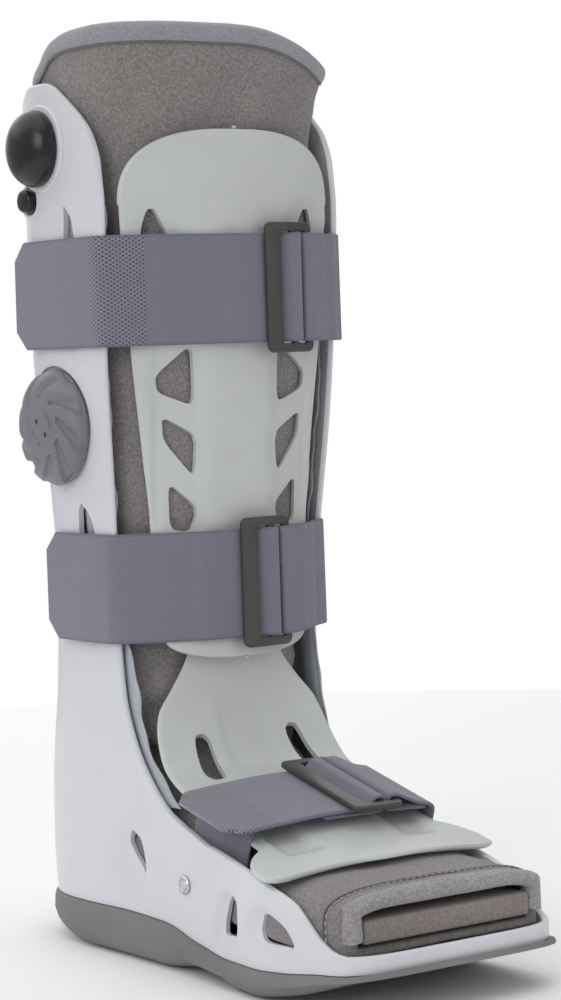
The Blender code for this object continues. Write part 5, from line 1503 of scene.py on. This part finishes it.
def screws(kinds):
    """The eyelet low on each side of the shell, with a dished middle."""
    for side, sign in (("right", 1), ("left", -1)):
        x = half_width(SCREW_CENTRE[0], SCREW_CENTRE[1]) + FIT_GAP
        centre = (-sign * x, *SCREW_CENTRE)
        profile = [(0.0, 0.0040), (0.0004, 0.0042), (0.0009, 0.0040), (0.0012, 0.0035), (0.0011, 0.0030),
                   (0.0005, 0.0026), (0.0004, 0.0020), (0.0008, 0.0017), (0.0008, 0.0002)]
        eyelet = turned(f"side_eyelet_{side}", [(sign * out, radius) for out, radius in profile], centre,
                        kinds["metal"], 48, 40.0)
        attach(eyelet, "boot")
        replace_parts(eyelet, f"side_screw_{side}")


# The whole boot

kinds = build_materials()
top_cloth = (webbing("top_long_cloth", 0.064, 0.092, -1.0, 9.0),
             webbing("top_short_cloth", 9.0, 9.0, -1.0, 0.034))
middle_cloth = (webbing("middle_long_cloth", 9.0, 9.0, -1.0, 9.0),
                webbing("middle_short_cloth", 9.0, 9.0, -1.0, 0.034))
foot_cloth = (webbing("foot_long_cloth", 9.0, 9.0, 0.026, 9.0),
              webbing("foot_short_cloth", 9.0, 9.0, -1.0, 9.0),
              webbing("foot_anchor_cloth", 9.0, 9.0, -1.0, 0.0))
shell(kinds)
sole(kinds)
liner(kinds)
footbed(kinds)
front_panel(kinds)
foot_panel(kinds)
air_cell("air_cell_right", -1, kinds)
air_cell("air_cell_left", 1, kinds)
calf_strap("top", TOP_STRAP_Z, TOP_BUCKLE_X, 0.163, 0.090, top_cloth, kinds)
calf_strap("middle", MIDDLE_STRAP_Z, MIDDLE_BUCKLE_X, 0.125, 0.099, middle_cloth, kinds)
foot_strap(foot_cloth, kinds)
pump_parts(kinds)
screws(kinds)

# Floor, light and camera


def soft_light(name, place, target, size, power, colour=(1.0, 1.0, 1.0)):
    """A rectangular soft light that faces the target."""
    data = bpy.data.lights.new(name, "AREA")
    data.shape = "RECTANGLE"
    data.size, data.size_y = size
    data.energy = power
    data.color = colour
    obj = bpy.data.objects.new(name, data)
    obj.location = place
    away = np.array(place) - np.array(target)
    away /= np.linalg.norm(away)
    side = np.cross((0.0, 0.0, 1.0), away)
    side /= max(np.linalg.norm(side), 1e-6)
    up = np.cross(away, side)
    obj.matrix_world = Matrix([(side[i], up[i], away[i], place[i]) for i in range(3)] + [(0, 0, 0, 1)])
    bpy.context.scene.collection.objects.link(obj)
    return obj


def studio():
    """A pale floor that runs into a white room, and big soft lights from above, the front and behind."""
    floor_material = new_material("floor_white", (0.93, 0.93, 0.93), 0.9, Specular_IOR_Level=0.1)
    mesh = bpy.data.meshes.new("floor")
    reach = 0.95
    rim = [(reach * math.cos(k * math.pi / 48), reach * math.sin(k * math.pi / 48), 0) for k in range(96)]
    mesh.from_pydata(rim, [], [tuple(range(96))])
    mesh.materials.append(floor_material)
    floor = bpy.data.objects.new("floor", mesh)
    floor.location.z = -0.0003
    bpy.context.scene.collection.objects.link(floor)
    middle = (0.0, 0.0, 0.2)
    soft_light("overhead", (0.0, 1.2, 3.2), middle, (7.0, 7.0), 126.0)
    soft_light("key", (-1.9, -0.9, 1.1), middle, (1.2, 1.2), 13.0)
    soft_light("fill", (1.0, -2.0, 0.8), middle, (1.6, 1.6), 5.0)
    soft_light("back", (0.6, 1.9, 0.9), middle, (1.6, 1.2), 4.0)
    world = bpy.data.worlds.new("studio")
    world.use_nodes = True
    nodes, links = world.node_tree.nodes, world.node_tree.links
    background = nodes["Background"]
    path = nodes.new("ShaderNodeLightPath")
    strength = nodes.new("ShaderNodeMapRange")
    strength.inputs["To Min"].default_value = 0.42
    strength.inputs["To Max"].default_value = 1.0
    links.new(path.outputs["Is Camera Ray"], strength.inputs["Value"])
    links.new(strength.outputs["Result"], background.inputs["Strength"])
    background.inputs["Color"].default_value = (1, 1, 1, 1)
    bpy.context.scene.world = world
    bpy.context.scene.view_settings.view_transform = "Standard"


def photo_camera():
    """The camera of the photograph: a long lens at shin height, in front and to the boot's right."""
    heading, pitch, roll = math.radians(35.34), math.radians(-3.11), math.radians(-1.97)
    ahead = np.array((math.sin(heading) * math.cos(pitch), math.cos(heading) * math.cos(pitch),
                      math.sin(pitch)))
    right = np.cross(ahead, (0, 0, 1.0))
    right /= np.linalg.norm(right)
    up = np.cross(right, ahead)
    side = right * math.cos(roll) + up * math.sin(roll)
    top = up * math.cos(roll) - right * math.sin(roll)
    data = bpy.data.cameras.new("photo_camera")
    data.lens = 99.1
    data.sensor_fit = "VERTICAL"
    data.sensor_height = 36.0
    obj = bpy.data.objects.new("photo_camera", data)
    place = (-0.718, -1.039, 0.277)
    obj.matrix_world = Matrix([(side[i], top[i], -ahead[i], place[i]) for i in range(3)] + [(0, 0, 0, 1)])
    bpy.context.scene.collection.objects.link(obj)
    bpy.context.scene.camera = obj


studio()
photo_camera()
